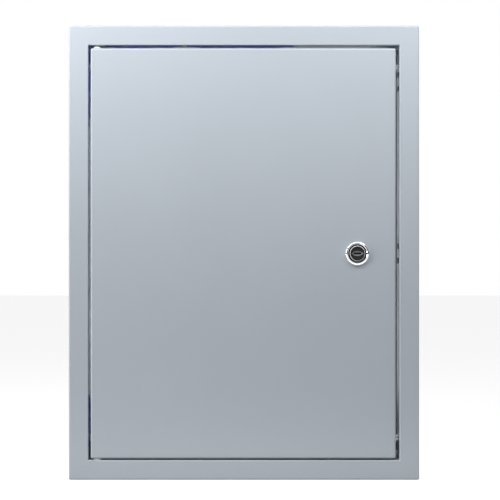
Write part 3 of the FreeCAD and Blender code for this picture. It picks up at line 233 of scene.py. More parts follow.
def lock_face():
    """The dark plated plug, with a painted highlight on its rim and on the eye-shaped dish round the keyway.
    """
    low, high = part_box("lock_plug")
    face, rim = low[1], (high[0] - low[0]) / 2 - 0.00045
    dish = (0.00006, 0.00012, 0.00080, 0.00095)
    finish = Finish("dark_plug_with_painted_highlight", (0.80, 0.81, 0.83), 0.20, 1.0)
    place = finish.add("ShaderNodeSeparateXYZ")
    finish.link(finish.coordinates, place.inputs["Vector"])
    depth = place.outputs["Y"]
    sunk = finish.remap(depth, 0.0, 1.0, face + dish[0], face + dish[1])
    shallow = finish.remap(depth, 1.0, 0.0, face + dish[2], face + dish[3])
    squares = []
    for axis, k in (("X", 0), ("Z", 2)):
        offset = finish.math("SUBTRACT", place.outputs[axis], (low[k] + high[k]) / 2)
        squares.append(finish.math("MULTIPLY", offset, offset))
    radius = finish.math("POWER", finish.math("ADD", *squares), 0.5)
    rim_highlight = finish.remap(radius, 0.0, 0.35, rim, rim + 0.0001)
    # Painted highlight: the dish and a thin line at the rim are made light in colour, and non-metallic below,
    # so they read white.
    painted_highlight = finish.math("MAXIMUM", finish.math("MULTIPLY", sunk, shallow), rim_highlight)
    finish.tone(painted_highlight, 0.13, 1.15)
    finish.roughen(painted_highlight, 0.18, 0.62)
    finish.link(finish.remap(painted_highlight, 1.0, 0.0, 0.0, 1.0), finish.shader.inputs["Metallic"])
    return finish.bump(finish.noise(900.0, 2.0, stretch=(1.0, 1.0, 0.2)), 0.00002, 0.5).material


def moulded(name, color, rough=0.45, texture=900.0, depth=0.00002):
    """Injection-moulded plastic with a fine spark-eroded texture."""
    finish = Finish(name, color, rough)
    finish.tone(finish.remap(finish.noise(40.0, 2.0), 0.0, 1.0), 0.94, 1.04)
    finish.roughen(finish.noise(300.0, 2.0), rough - 0.06, rough + 0.08)
    return finish.grain(texture, 2.0, depth, 0.5).material


def circuit_board():
    """Green solder mask with fine copper traces showing through it as paler lines."""
    finish = Finish("solder_mask", (0.030, 0.165, 0.075), 0.32, coat_weight=0.4, coat_roughness=0.15)
    lanes = finish.texture(
        "ShaderNodeTexBrick", finish.mapped(Rotation=(math.radians(90), 0, 0)),
        (("Scale", 160.0), ("Mortar Size", 0.06), ("Color1", (0.0, 0.0, 0.0, 1.0)),
         ("Color2", (0.25, 0.25, 0.25, 1.0)), ("Mortar", (1.0, 1.0, 1.0, 1.0))),
        offset=0.5, squash=1.0,
    )
    patches = finish.remap(finish.noise(70.0, 1.0), 0.0, 1.0, 0.48, 0.55)
    mixed = finish.add("ShaderNodeMix", data_type="RGBA", blend_type="MULTIPLY")
    mixed.inputs["Factor"].default_value = 1.0
    finish.link(lanes.outputs["Color"], mixed.inputs["A"])
    finish.link(patches, mixed.inputs["B"])
    finish.tone(mixed.outputs["Result"], 0.9, 1.9)
    return finish.bump(mixed.outputs["Result"], 0.00003, 0.6).material


def laminated():
    """Varnished transformer laminations, stacked along Y."""
    finish = Finish("laminated_core", (0.075, 0.075, 0.085), 0.45, 0.35)
    stack = finish.bands(320.0, 0.4, bands_direction="Y")
    finish.tone(finish.noise(60.0, 3.0), 0.75, 1.35)
    finish.bump(stack, 0.00012, 0.7)
    return finish.grain(300.0, 3.0, 0.00003, 0.5).material


def taped():
    """Yellow insulating tape wound round a coil, in overlapping turns."""
    finish = Finish("winding_tape", (0.72, 0.50, 0.09), 0.3, coat_weight=0.3, coat_roughness=0.2)
    turns = finish.bands(28.0, 0.8, bands_direction="Z", wave_profile="SAW")
    finish.tone(turns, 0.78, 1.1)
    finish.bump(turns, 0.0002, 0.6)
    return finish.grain(200.0, 2.0, 0.00008, 0.4).material


def insulation(name, color):
    """Extruded lead insulation, slightly glossy."""
    finish = Finish(name, color, 0.35, coat_weight=0.15, coat_roughness=0.3)
    finish.tone(finish.noise(120.0, 2.0), 0.88, 1.08)
    return finish.grain(500.0, 2.0, 0.00003, 0.4).material


def lens(name, color):
    """Tinted diffused lamp body."""
    finish = Finish(name, color, 0.18, transmission_weight=0.25, ior=1.49, coat_weight=0.3)
    finish.tone(finish.noise(300.0, 2.0), 0.9, 1.1)
    return finish.grain(700.0, 2.0, 0.00001, 0.3).material


def glass_tube():
    """The clear barrel of a glass fuse."""
    finish = Finish("fuse_glass", (0.92, 0.96, 0.96), 0.05, transmission_weight=0.95, ior=1.5)
    finish.tone(finish.noise(200.0, 2.0), 0.96, 1.0)
    return finish.grain(300.0, 1.0, 0.00001, 0.2).material


ZINC = plated("bright_zinc", (0.70, 0.71, 0.73), 0.30)
SPRING_STEEL = plated("spring_wire", (0.50, 0.50, 0.52), 0.25)
TIN = plated("tinned", (0.76, 0.76, 0.77), 0.22)
NYLON = moulded("natural_nylon", (0.80, 0.80, 0.76), 0.4)
RELAY_WHITE = moulded("relay_white", (0.72, 0.72, 0.69), 0.3)
BLACK_PLASTIC = moulded("black_plastic", (0.018, 0.018, 0.02), 0.4)
KEY_GREY = moulded("key_grey", (0.50, 0.52, 0.54), 0.42)
BATTERY_CASE = moulded("battery_case", (0.030, 0.031, 0.034), 0.5, 350.0, 0.00006)
RED_WIRE = insulation("red_insulation", (0.55, 0.015, 0.012))
BLACK_WIRE = insulation("black_insulation", (0.015, 0.015, 0.016))

NODE_FINISHES = (
    (powder_coat("light_grey_powder_coat", (0.505, 0.555, 0.612), 0.34), ("trim_frame", "door")),
    (powder_coat("off_white_powder_coat", (0.70, 0.71, 0.69), 0.42), ("control_fascia",)),
    (galvanised(), ("back_box", "frame_brackets", "gear_plate", "transformer_feet", "hinge_bracket")),
    (ZINC, ("plate_studs", "plate_nuts", "frame_screws", "inner_screws", "upper_hinge_pin", "lower_hinge_pin",
            "lock_nut", "lock_cam", "cam_screw", "fascia_pillars", "terminal_screws")),
    (TIN, ("fuse_clips", "battery_tabs")),
    (plated("brass", (0.78, 0.58, 0.26), 0.28), ("box_earth_stud", "door_earth_stud")),
    (SPRING_STEEL, ("pin_spring",)),
    (chromed("bright_chrome", 0.06), ("lock_housing", "keyswitch_body")),
    (lock_face(), ("lock_plug",)),
    (chromed("satin_chrome", 0.16), ("keyswitch_core",)),
    (moulded("black_rubber", (0.022, 0.022, 0.024), 0.7, 500.0, 0.00004), ("door_buffers",)),
    (NYLON, ("hinge_washers", "board_supports")),
    (circuit_board(), ("main_board", "charger_board", "display_board")),
    (moulded("terminal_green", (0.05, 0.30, 0.11), 0.42), ("field_terminals",)),
    (RELAY_WHITE, ("relays",)),
    (moulded("capacitor_sleeve", (0.02, 0.022, 0.035), 0.22), ("capacitors",)),
    (BLACK_PLASTIC, ("chips", "ribbon_headers", "tactile_switches", "sounder", "fuse_carrier")),
    (glass_tube(), ("board_fuses",)),
    (insulation("ribbon_grey", (0.36, 0.36, 0.38)), ("ribbon_cable",)),
    (plated("black_anodised", (0.035, 0.035, 0.04), 0.5), ("heat_sink",)),
    (moulded("overlay_film", (0.085, 0.095, 0.11), 0.5, 1400.0), ("fascia_overlay",)),
    (lens("red_lens", (0.55, 0.02, 0.015)), ("fire_lamps",)),
    (lens("amber_lens", (0.80, 0.36, 0.02)), ("fault_lamps",)),
    (lens("green_lens", (0.05, 0.50, 0.10)), ("power_lamp",)),
    (laminated(), ("transformer_core",)),
    (taped(), ("transformer_coil",)),
    (moulded("terminal_white", (0.70, 0.70, 0.66), 0.4), ("mains_terminal",)),
    (BATTERY_CASE, ("battery_left", "battery_right")),
    (KEY_GREY, ("silence_button", "sound_button", "mute_button", "reset_button")),
)
for material, nodes in NODE_FINISHES:
    for node in nodes:
        for place in NODES[node].material_slots:
            place.material = material


# ---- mesh tools ----
def solids(node):
    """The lowest and highest corners of each separate solid in a CAD node, in order along X."""
    mesh = NODES[node].data
    keys = [tuple(round(c, 6) for c in vertex.co) for vertex in mesh.vertices]
    parent = {key: key for key in keys}

    def root(key):
        while parent[key] != key:
            parent[key] = parent[parent[key]]
            key = parent[key]
        return key

    for edge in mesh.edges:
        a, b = (root(keys[i]) for i in edge.vertices)
        if a != b:
            parent[a] = b
    groups = {}
    for key in parent:
        groups.setdefault(root(key), []).append(key)
    corners = []
    for group in groups.values():
        columns = list(zip(*group))
        corners.append((Vector(min(c) for c in columns), Vector(max(c) for c in columns)))
    return sorted(corners, key=lambda pair: tuple(pair[0]))


def middle(pair):
    """The point halfway between two corners."""
    return (pair[0] + pair[1]) / 2


def span(centre, half):
    """The two ends of a stretch of the given half length."""
    return centre - half, centre + half


def new_object(name, data):
    """An object with the given data, linked into the scene."""
    item = bpy.data.objects.new(name, data)
    bpy.context.scene.collection.objects.link(item)
    return item


class Shape:
    """One piece's mesh, put together from bevelled blocks, rounds and flat outlines."""

    def __init__(self):
        self.bm = bmesh.new()

    def block(self, x, y, z, bevel=0.0):
        """A block between two X, two Y and two Z values, with rounded edges where it has a bevel."""
        lows, highs = zip(*(sorted(pair) for pair in (x, y, z)))
        centre = (Vector(lows) + Vector(highs)) / 2
        size = Vector(highs) - Vector(lows)
        made = bmesh.ops.create_cube(self.bm, matrix=Matrix.LocRotScale(centre, None, size))
        if bevel:
            edges = {edge for vertex in made["verts"] for edge in vertex.link_edges}
            bmesh.ops.bevel(self.bm, geom=list(edges), offset=bevel, segments=2, affect="EDGES", profile=0.6)
        return self

    def skin(self, rings, closed=False):
        """Faces from each ring of points to the next, capped at both ends unless closed on itself."""
        loops = [[self.bm.verts.new(point) for point in ring] for ring in rings]
        following = loops[1:] + loops[:1] if closed else loops[1:]
        for a, b in zip(loops, following):
            for k in range(len(a)):
                after = (k + 1) % len(a)
                self.bm.faces.new((a[k], a[after], b[after], b[k]))
        if not closed:
            self.bm.faces.new(loops[0])
            self.bm.faces.new(list(reversed(loops[-1])))
        return self

    def prism(self, outline, y0, y1):
        """A flat outline of (x, z) points, given thickness from y0 to y1."""
        return self.skin([[(x, y, z) for x, z in outline] for y in (y0, y1)])

    def band(self, x, z, r_in, r_out, y0, y1, start=0.0, sweep=360.0, steps=40):
        """A flat ring, or part of one, about an axis along Y."""
        closed = sweep >= 360.0
        corners = ((r_in, y0), (r_out, y0), (r_out, y1), (r_in, y1))
        rings = []
        for i in range(steps if closed else steps + 1):
            angle = math.radians(start + sweep * i / steps)
            cos, sin = math.cos(angle), math.sin(angle)
            rings.append([(x + r * cos, y, z + r * sin) for r, y in corners])
        return self.skin(rings, closed)

    def turned(self, x, z, profile, steps=32):
        """A turned shape about an axis along Y, from (radius, y) points, closed at both ends."""
        angles = (math.tau * i / steps for i in range(steps))
        circle = [(math.cos(a), math.sin(a)) for a in angles]
        return self.skin([[(x + r * cos, y, z + r * sin) for cos, sin in circle] for r, y in profile])

    def frame(self, x, z, width, y0, y1):
        """A rectangular outline of the given line width."""
        (x0, x1), (z0, z1) = x, z
        self.block((x0, x1), (y0, y1), (z0, z0 + width))
        self.block((x0, x1), (y0, y1), (z1 - width, z1))
        self.block((x0, x0 + width), (y0, y1), (z0 + width, z1 - width))
        return self.block((x1 - width, x1), (y0, y1), (z0 + width, z1 - width))

    def bars(self, widths, y, top, pitch, height):
        """A column of plain bars, which stand for lines of print."""
        for i, x in enumerate(widths):
            row = top - pitch * i
            self.block(x, y, (row - height, row))
        return self

    def piece(self, name, material, body="cabinet"):
        """Turns the mesh into a named object that rides on one of the bodies."""
        bmesh.ops.recalc_face_normals(self.bm, faces=self.bm.faces)
        mesh = bpy.data.meshes.new(name)
        self.bm.to_mesh(mesh)
        self.bm.free()
        for polygon in mesh.polygons:
            polygon.use_smooth = True
        mesh.set_sharp_from_angle(angle=math.radians(32))
        mesh.materials.append(material)
        item = new_object(name, mesh)
        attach(item, body)
        return item


def wire_ring(centre, across, up, radius, sides):
    """Points round a wire, in the plane of two unit vectors."""
    angles = (math.tau * k / sides for k in range(sides))
    return [centre + radius * (across * math.cos(b) + up * math.sin(b)) for b in angles]


def lead(name, route, diameter, material):
    """An insulated lead along a smooth line near its route's points, which are in millimetres."""
    curve = bpy.data.curves.new(name, "CURVE")
    curve.dimensions = "3D"
    curve.bevel_depth = diameter / 2
    curve.bevel_resolution = 5
    curve.use_fill_caps = True
    spline = curve.splines.new("NURBS")
    spline.points.add(len(route) - 1)
    for point, place in zip(spline.points, route):
        point.co = (*(c * MM for c in place), 1.0)
    spline.use_endpoint_u = True
    spline.order_u = 3
    spline.resolution_u = 10
    curve.materials.append(material)
    item = new_object(name, curve)
    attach(item, "cabinet")
    return item


# ---- more finishes ----
def ink(name, color):
    """Screen-printed ink, a little matt, with the weave of the screen in its surface."""
    finish = Finish(name, color, 0.55)
    finish.tone(finish.noise(150.0, 2.0), 0.94, 1.04)
    return finish.grain(1500.0, 2.0, 0.00001, 0.4).material


WHITE_INK = ink("white_ink", (0.66, 0.67, 0.68))
GREY_INK = ink("grey_ink", (0.22, 0.235, 0.26))
RED_INK = ink("red_ink", (0.42, 0.022, 0.018))
AMBER_INK = ink("amber_ink", (0.62, 0.33, 0.035))
GREEN_INK = ink("green_ink", (0.05, 0.32, 0.11))
DARK_INK = ink("dark_ink", (0.028, 0.03, 0.036))
LEGEND_INK = ink("legend_ink", (0.70, 0.72, 0.68))
ALUMINIUM = plated("aluminium_can", (0.72, 0.73, 0.74), 0.35)
TRACK = moulded("masked_track", (0.055, 0.27, 0.12), 0.3)
COPPER = plated("enamelled_copper", (0.62, 0.26, 0.12), 0.3)
CERAMIC = moulded("ceramic_tan", (0.36, 0.27, 0.18), 0.45)
RESISTOR = moulded("resistor_black", (0.03, 0.03, 0.032), 0.3)
BLUE_PLASTIC = moulded("blue_plastic", (0.03, 0.09, 0.34), 0.35)
BROWN_WIRE = insulation("brown_insulation", (0.13, 0.045, 0.018))
BLUE_WIRE = insulation("blue_insulation", (0.02, 0.09, 0.38))
YELLOW_WIRE = insulation("yellow_insulation", (0.66, 0.48, 0.03))
RED_SLEEVE = insulation("red_sleeve", (0.50, 0.03, 0.025))
BLACK_SLEEVE = insulation("black_sleeve", (0.03, 0.03, 0.032))


def blue_film():
    """Creased remains of the blue protective film."""
    finish = Finish("blue_film", (0.060, 0.12, 0.60), 0.3, transmission_weight=0.15)
    finish.tone(finish.noise(120.0, 3.0, stretch=(1.0, 1.0, 0.25)), 0.75, 1.25)
    return finish.bump(finish.noise(260.0, 2.0, stretch=(1.0, 1.0, 0.2)), 0.00008, 0.6).material


def cloth_tape():
    """A matt black sheet with a woven bump, put behind the slots as painted shade."""
    finish = Finish("black_slot_shade", (0.012, 0.012, 0.013), 0.85, specular_ior_level=0.05)
    weave = finish.texture("ShaderNodeTexChecker", inputs=(("Scale", 1600.0),)).outputs["Fac"]
    finish.tone(finish.noise(90.0, 2.0), 0.8, 1.2)
    return finish.bump(weave, 0.00003, 0.4).material


BLUE_FILM = blue_film()
SLOT_SHADE_BLACK = cloth_tape()


# ---- trim frame: film, and painted shade behind the slots ----
OPENING_HALF_W, OPENING_HALF_H = 0.150, 0.200
FILM_DEPTH = (-0.0992, -0.0752)
SLOT_PAIR_HEIGHTS = (-0.0007, 0.1665)


def torn_strip(shape, rng, along, place, thickness, lengthwise):
    """A strip of film on a lip's inner face, torn at its two ends and along its rear edge.

    along is its run, and lengthwise(u, y, t) turns a point of it into X, Y, Z."""
    steps = 14
    front, back = FILM_DEPTH
    rows = []
    for i in range(steps + 1):
        u = along[0] + (along[1] - along[0]) * i / steps
        taper = 1.0 if 1 < i < steps - 1 else 0.45 + 0.4 * rng.random()
        y = front + (back - front) * taper * (0.72 + 0.28 * rng.random())
        lift = 0.00006 * rng.random()
        section = ((front, 0.0), (y, lift), (y, lift + thickness), (front, thickness))
        rows.append([lengthwise(u, v, place + t) for v, t in section])
    shape.skin(rows)


def protective_film():
    """Strips of blue film left on the inner face of the lip, at the left and along the top."""
    thickness = 0.00005
    side, top = -OPENING_HALF_W + 0.00004, OPENING_HALF_H - 0.00020
    rng = random.Random(7)
    film = Shape()
    for run in ((0.122, 0.1995), (-0.187, -0.138)):
        torn_strip(film, rng, run, side, thickness, lambda u, y, t: (t, y, u))
    for run in ((-0.1495, -0.1464), (-0.134, -0.060), (-0.055, 0.048)):
        torn_strip(film, rng, run, top, thickness, lambda u, y, t: (u, y, t))
    film.piece("protective_film", BLUE_FILM)


def slot_tape():
    """A black sheet behind the slots in the right-hand lip, painted shade that keeps the slots black."""
    lip_outer, half = OPENING_HALF_W + 0.0012, 0.0135
    shade_sheet = Shape()
    for z in SLOT_PAIR_HEIGHTS:
        # Painted shade: a black sheet just outside the lip at each pair of slots, so they read black.
        shade_sheet.block((lip_outer + 0.00001, lip_outer + 0.00007), (-0.0975, -0.0735), span(z, half))
    shade_sheet.piece("slot_tape", SLOT_SHADE_BLACK)


# ---- upper hinge pin's spring ----
def hinge_spring():
    """The compression spring under the pin's collar, which closes up as the pin is drawn down."""
    low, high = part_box("pin_spring")
    travel, wire_r, turns, per_turn, sides = 0.006, 0.0004, 6, 32, 10
    x, y = (low[0] + high[0]) / 2, (low[1] + high[1]) / 2
    coil_r, length = (high[0] - low[0]) / 2 - wire_r, high[2] - low[2]
    rings = []
    for i in range(turns * per_turn + 1):
        a = math.tau * i / per_turn
        z = low[2] + wire_r + (length - 2 * wire_r) * i / (turns * per_turn)
        out, up = Vector((math.cos(a), math.sin(a), 0.0)), Vector((0.0, 0.0, 1.0))
        rings.append(wire_ring(Vector((x, y, z)) + coil_r * out, out, up, wire_r, sides))
    coil = Shape().skin(rings).piece("hinge_spring", SPRING_STEEL, "door")
    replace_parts(coil, "pin_spring")
    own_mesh(coil)


# ---- batteries ----
def battery_details():
    """Labels and vent strips on both batteries, and the polarity marks by their terminals."""
    labels, bands, vents, caps, marks, red, black = (Shape() for _ in range(7))
    for node in ("battery_left", "battery_right"):
        low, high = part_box(node)
        centre = (low[0] + high[0]) / 2
        top, front = high[2], low[1]
        face = front + 0.0005
        x = span(centre, 0.054)
        z0, z1 = low[2] + 0.006, top - 0.0155
        labels.block(x, (face - 0.0001, face), (z0, z1))
        skin = (face - 0.00016, face - 0.0001)
        bands.block(x, skin, (z1 - 0.0075, z1))
        bands.block((x[0], x[0] + 0.012), skin, (z0, z1 - 0.0085))
        lengths = (0.060, 0.052, 0.058, 0.040, 0.055, 0.034)
        widths = [(x[0] + 0.018, x[0] + 0.018 + length) for length in lengths]
        marks.bars(widths, skin, z1 - 0.0125, 0.0032, 0.0009)
        marks.frame((x[1] - 0.022, x[1] - 0.004), (z0 + 0.003, z0 + 0.019), 0.0006, *skin)
        strip = top + 0.0011
        vents.block(span(centre, 0.037), (front + 0.026, front + 0.058), (top, strip), 0.0004)
        for i in range(6):
            cap = centre - 0.030 + 0.012 * i
            y = (front + 0.036, front + 0.048)
            caps.block(span(cap, 0.0042), y, (strip, strip + 0.0005), 0.0002)
        for side, polarity in ((-1, black), (1, red)):
            mark = centre + side * 0.052
            y = (front + 0.020, front + 0.0322)
            polarity.block(span(mark, 0.006), y, (top, top + 0.0002))
    labels.piece("battery_labels", GREY_INK)
    bands.piece("battery_label_bands", AMBER_INK)
    marks.piece("battery_label_lines", WHITE_INK)
    vents.piece("battery_vent_strips", BATTERY_CASE)
    caps.piece("battery_vent_caps", BLACK_PLASTIC)
    red.piece("battery_plus_marks", RED_INK)
    black.piece("battery_minus_marks", BLUE_PLASTIC)


# ---- leads ----
def lead_sleeves():
    """Push-on connectors with a crimped neck over the battery tabs."""
    tabs = solids("battery_tabs")
    for name, sides, material in (
        ("red_sleeves", (1, 3), RED_SLEEVE),
        ("black_sleeves", (0, 2), BLACK_SLEEVE),
    ):
        shape = Shape()
        for i in sides:
            (x, y, _), base = middle(tabs[i]), tabs[i][0].z + 0.0014
            neck = (base + 0.0090, base + 0.0146)
            shape.block(span(x, 0.0042), span(y, 0.0022), (base, base + 0.0092), 0.0007)
            shape.block(span(x, 0.0026), span(y, 0.0019), neck, 0.0008)
        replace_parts(shape.piece(name, material), "battery_leads")


def steps_from(start, *steps):
    """The points of a route, each given by its distances from the start."""
    return [tuple(a + b for a, b in zip(start, step)) for step in steps]


def battery_leads():
    """The red and black leads to the charger board, and the link between the two batteries."""
    tab_y, top, entry, end_z, pitch = -59.0, -128.0, -23.3, -94.0, 5.08
    ways = solids("field_terminals")[3][0].x / MM
    end = ways + 3.5 * pitch
    red = steps_from((122.0, tab_y, top), (0, 0, 0), (0, 0, 9), (-13, 3, 18), (-37, 7, 20), (-62, 12, 16),
                     (-86, 19, 11))
    red += [(end + 2, tab_y + 29, top + 13), (end, entry, top + 24), (end, entry, end_z)]
    end = ways + 2.5 * pitch
    black = steps_from((-122.0, tab_y, top), (0, 0, 0), (0, 0, 8), (14, 3, 14), (40, 6, 16), (69, 9, 13),
                       (98, 13, 10), (122, 20, 8))
    black += [(end - 2, tab_y + 30, top + 12), (end, entry, top + 24), (end, entry, end_z)]
    link = steps_from((0.0, tab_y, top), (-18, 0, 0), (-18, -1, 7), (-9, -2, 14), (9, -2, 14), (18, -1, 7),
                      (18, 0, 0))
    for name, route, material in (
        ("battery_lead_red", red, RED_WIRE),
        ("battery_lead_black", black, BLACK_WIRE),
        ("battery_link", link, BLUE_WIRE),
    ):
        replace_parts(lead(name, route, 0.0028, material), "battery_leads")


def transformer_leads():
    """Brown and blue mains leads over the winding, and two yellow low-voltage leads below it."""
    coil_low, coil_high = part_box("transformer_coil")
    core = (coil_low[0] + coil_high[0]) / 2 / MM
    front = coil_low[1] / MM + 4.0
    top, foot = coil_high[2] / MM, coil_low[2] / MM
    for name, start, end, lift, material in (
        ("mains_lead_brown", core - 14.0, 104.0, 0.0, BROWN_WIRE),
        ("mains_lead_blue", core - 9.0, 116.0, 3.4, BLUE_WIRE),
    ):
        route = steps_from((start, front, top), (0, 0, 0), (0, 0, 11), (10, 8, 21 + lift),
                           (30, 22, 26 + lift))
        route += [(-38, front + 29, -11.5 + lift), (-2, front + 30, -9.5 + lift),
                  (34, front + 29, -10.5 + lift), (66, front + 28, -13 + lift),
                  (end - 8, front + 28, -19 + lift), (end, front + 30, -34), (end, -19.2, -48),
                  (end, -19.2, -63)]
        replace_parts(lead(name, route, 0.0022, material), "transformer_leads")
    for name, start, end, drop in (
        ("secondary_lead_inner", core + 15.0, 7.62, 0.0),
        ("secondary_lead_outer", core + 10.5, 2.54, 3.4),
    ):
        route = steps_from((start, front, foot), (0, 0, 0), (0, 0, -9 - drop), (9, 3, -19 - drop),
                           (30, 8, -24 - drop), (56, 17, -29 - drop))
        route += [(end - 3, front + 25, foot - 32 - drop), (end, -23.3, foot - 26), (end, -23.3, -94)]
        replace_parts(lead(name, route, 0.0022, YELLOW_WIRE), "transformer_leads")


# ---- transformer ----
def transformer_details():
    """Bobbin cheeks, solder tags, the blank label on the winding and the core's rivets."""
    low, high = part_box("transformer_coil")
    cheeks = Shape()
    grow = 0.0007
    for z in ((low[2] - 0.0001, low[2] + 0.0016), (high[2] - 0.0016, high[2] + 0.0001)):
        cheeks.block((low[0] - grow, high[0] + grow), (low[1] - grow, low[1] + 0.0095), z, 0.0005)
    cheeks.piece("bobbin_cheeks", NYLON)
    tags = Shape()
    for i in range(6):
        x = low[0] + 0.007 + 0.007 * i
        y = (low[1] + 0.0012, low[1] + 0.0016)
        tags.block(span(x, 0.0012), y, (high[2], high[2] + 0.0045))
    tags.piece("winding_tags", TIN)
    plate = Shape()
    x = (low[0] + 0.008, high[0] - 0.008)
    z = (low[2] + 0.009, high[2] - 0.009)
    plate.block(x, (low[1] - 0.00012, low[1]), z)
    plate.piece("winding_label", LEGEND_INK)
    widths = [(x[0] + 0.003, x[1] - 0.004 - 0.005 * (i % 3)) for i in range(4)]
    lines = Shape().bars(widths, (low[1] - 0.00017, low[1] - 0.00012), z[1] - 0.0030, 0.0032, 0.0008)
    lines.piece("winding_label_lines", DARK_INK)
    core_low, core_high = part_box("transformer_core")
    y = core_low[1]
    profile = ((0.0030, y), (0.0029, y - 0.0006), (0.0021, y - 0.0014), (0.0006, y - 0.0017))
    rivets = Shape()
    for x in (core_low[0] + 0.0045, core_high[0] - 0.0045):
        for z in (core_low[2] + 0.0045, core_high[2] - 0.0045):
            rivets.turned(x, z, profile)
    rivets.piece("core_rivets", ZINC)


# ---- boards ----
def chip_details():
    """Gull-wing legs down two sides of each chip, and the dot by its first leg."""
    legs, dots = Shape(), Shape()
    knee, ankle, toe, thick, rise = 0.0007, 0.0009, 0.0015, 0.0002, 0.0010
    for low, high in solids("chips"):
        count = int((high.z - low.z) / 0.0013)
        base = high.y
        for i in range(count):
            centre = low.z + (i + 0.5) * (high.z - low.z) / count
            z = span(centre, thick)
            for side, x in ((-1, low.x), (1, high.x)):
                legs.block((x, x + side * ankle), (base - rise - 0.0003, base - rise), z)
                legs.block((x + side * knee, x + side * ankle), (base - rise, base), z)
                legs.block((x + side * knee, x + side * toe), (base - thick, base), z)
        dots.turned(low.x + 0.0015, high.z - 0.0015, ((0.0005, low.y), (0.0005, low.y - 0.00004)), 16)
    legs.piece("chip_legs", TIN)
    dots.piece("chip_marks", WHITE_INK)


def capacitor_tops():
    """Bare aluminium ends with their cross-shaped vents, and the pale polarity stripes."""
    tops, vents, stripes = Shape(), Shape(), Shape()
    for low, high in solids("capacitors"):
        (x, _, z), r = middle((low, high)), (high.x - low.x) / 2
        y = low.y
        tops.turned(x, z, ((r * 0.80, y), (r * 0.78, y - 0.00012)), 40)
        for dx, dz in ((r * 0.6, 0.00012), (0.00012, r * 0.6)):
            vents.block(span(x, dx), (y - 0.00017, y - 0.00012), span(z, dz))
        stripes.band(x, z, r, r + 0.00006, y + 0.0012, high.y - 0.0036, start=195, sweep=28, steps=6)
    tops.piece("capacitor_tops", ALUMINIUM)
    vents.piece("capacitor_vents", DARK_INK)
    stripes.piece("capacitor_stripes", LEGEND_INK)


def relay_details():
    """A label with plain bars and a vent pip on each relay."""
    labels, lines, pips = Shape(), Shape(), Shape()
    for low, high in solids("relays"):
        y = low.y
        x, z = (low.x + 0.0025, high.x - 0.0025), (low.z + 0.0025, high.z - 0.0025)
        labels.block(x, (y - 0.00006, y), z)
        widths = [(x[0] + 0.0015, x[1] - 0.002 - 0.003 * i) for i in range(3)]
        lines.bars(widths, (y - 0.0001, y - 0.00006), z[1] - 0.0022, 0.0028, 0.0007)
        pips.turned(high.x - 0.0013, high.z - 0.0013, ((0.0006, y), (0.0004, y - 0.0005)), 14)
    labels.piece("relay_labels", BLUE_PLASTIC)
    lines.piece("relay_label_lines", WHITE_INK)
    pips.piece("relay_pips", RELAY_WHITE)


def surface_parts(name, x, z, face, keep_out, count, seed):
    """Small resistors and capacitors on a board, square to its edges and clear of everything else."""
    rng = random.Random(seed)
    grid, margin, room = 0.00254, 0.006, 0.0012
    bodies = {"black": Shape(), "tan": Shape()}
    thickness = {"black": 0.0007, "tan": 0.0011}
    ends, legend, taken = Shape(), Shape(), list(keep_out)

    def lay(shape, across, along, thick):
        """A block on the board at the present part's place, turned with it."""
        dx, dz = (across, along) if upright else (along, across)
        shape.block((cx + dx[0], cx + dx[1]), (face - thick, face), (cz + dz[0], cz + dz[1]))

    placed = 0
    for _ in range(count * 12):
        if placed == count:
            break
        upright = rng.random() < 0.5
        long, short = rng.choice(((0.0032, 0.0016), (0.0020, 0.00125), (0.0045, 0.0032)))
        across, up = (short, long) if upright else (long, short)
        cx = round(rng.uniform(x[0] + margin, x[1] - margin) / grid) * grid
        cz = round(rng.uniform(z[0] + margin, z[1] - margin) / grid) * grid
        box = (cx - across / 2 - room, cx + across / 2 + room, cz - up / 2 - room, cz + up / 2 + room)
        if any(box[0] < b[1] and box[1] > b[0] and box[2] < b[3] and box[3] > b[2] for b in taken):
            continue
        taken.append(box)
        placed += 1
        kind = "tan" if rng.random() < 0.4 else "black"
        width, half, thick = (-short / 2, short / 2), long / 2, thickness[kind]
        cap = long * 0.18
        lay(bodies[kind], width, (cap - half, half - cap), thick)
        for side in (-1, 1):
            lay(ends, width, (side * (half - cap), side * half), thick + 0.00005)
        legend.frame((box[0] + 0.0004, box[1] - 0.0004), (box[2] + 0.0004, box[3] - 0.0004), 0.00018,
                     face - 0.00003, face)
    bodies["black"].piece(f"{name}_resistors", RESISTOR)
    bodies["tan"].piece(f"{name}_capacitors", CERAMIC)
    ends.piece(f"{name}_part_ends", TIN)
    legend.piece(f"{name}_legend", LEGEND_INK)


def board_traces(name, x, z, face, keep_out, count, seed):
    """Raised copper tracks under the solder mask, each a run with one 45 degree jog."""
    rng = random.Random(seed)
    near = 0.001
    tracks, vias = Shape(), Shape()
    for _ in range(count):
        width = rng.choice((0.0004, 0.0004, 0.0008))
        u, v = rng.uniform(x[0] + 0.004, x[1] - 0.020), rng.uniform(z[0] + 0.004, z[1] - 0.004)
        run, jog = rng.uniform(0.006, 0.014), rng.uniform(0.001, 0.003) * rng.choice((-1, 1))
        line = [(u, v), (u + run, v), (u + run + abs(jog), v + jog), (u + run * 1.4 + abs(jog), v + jog)]
        if line[-1][0] > x[1] - 0.003 or not z[0] + 0.003 < v + jog < z[1] - 0.003:
            continue
        if any(b[0] - near < px < b[1] + near and b[2] - near < pz < b[3] + near
               for b in keep_out for px, pz in line):
            continue
        upper = [(px, pz + width / 2) for px, pz in line]
        lower = [(px, pz - width / 2) for px, pz in reversed(line)]
        tracks.prism(upper + lower, face - 0.00005, face)
        for px, pz in (line[0], line[-1]):
            vias.band(px, pz, 0.0002, 0.00055, face - 0.00008, face, steps=14)
    tracks.piece(f"{name}_tracks", TRACK)
    vias.piece(f"{name}_vias", TIN)


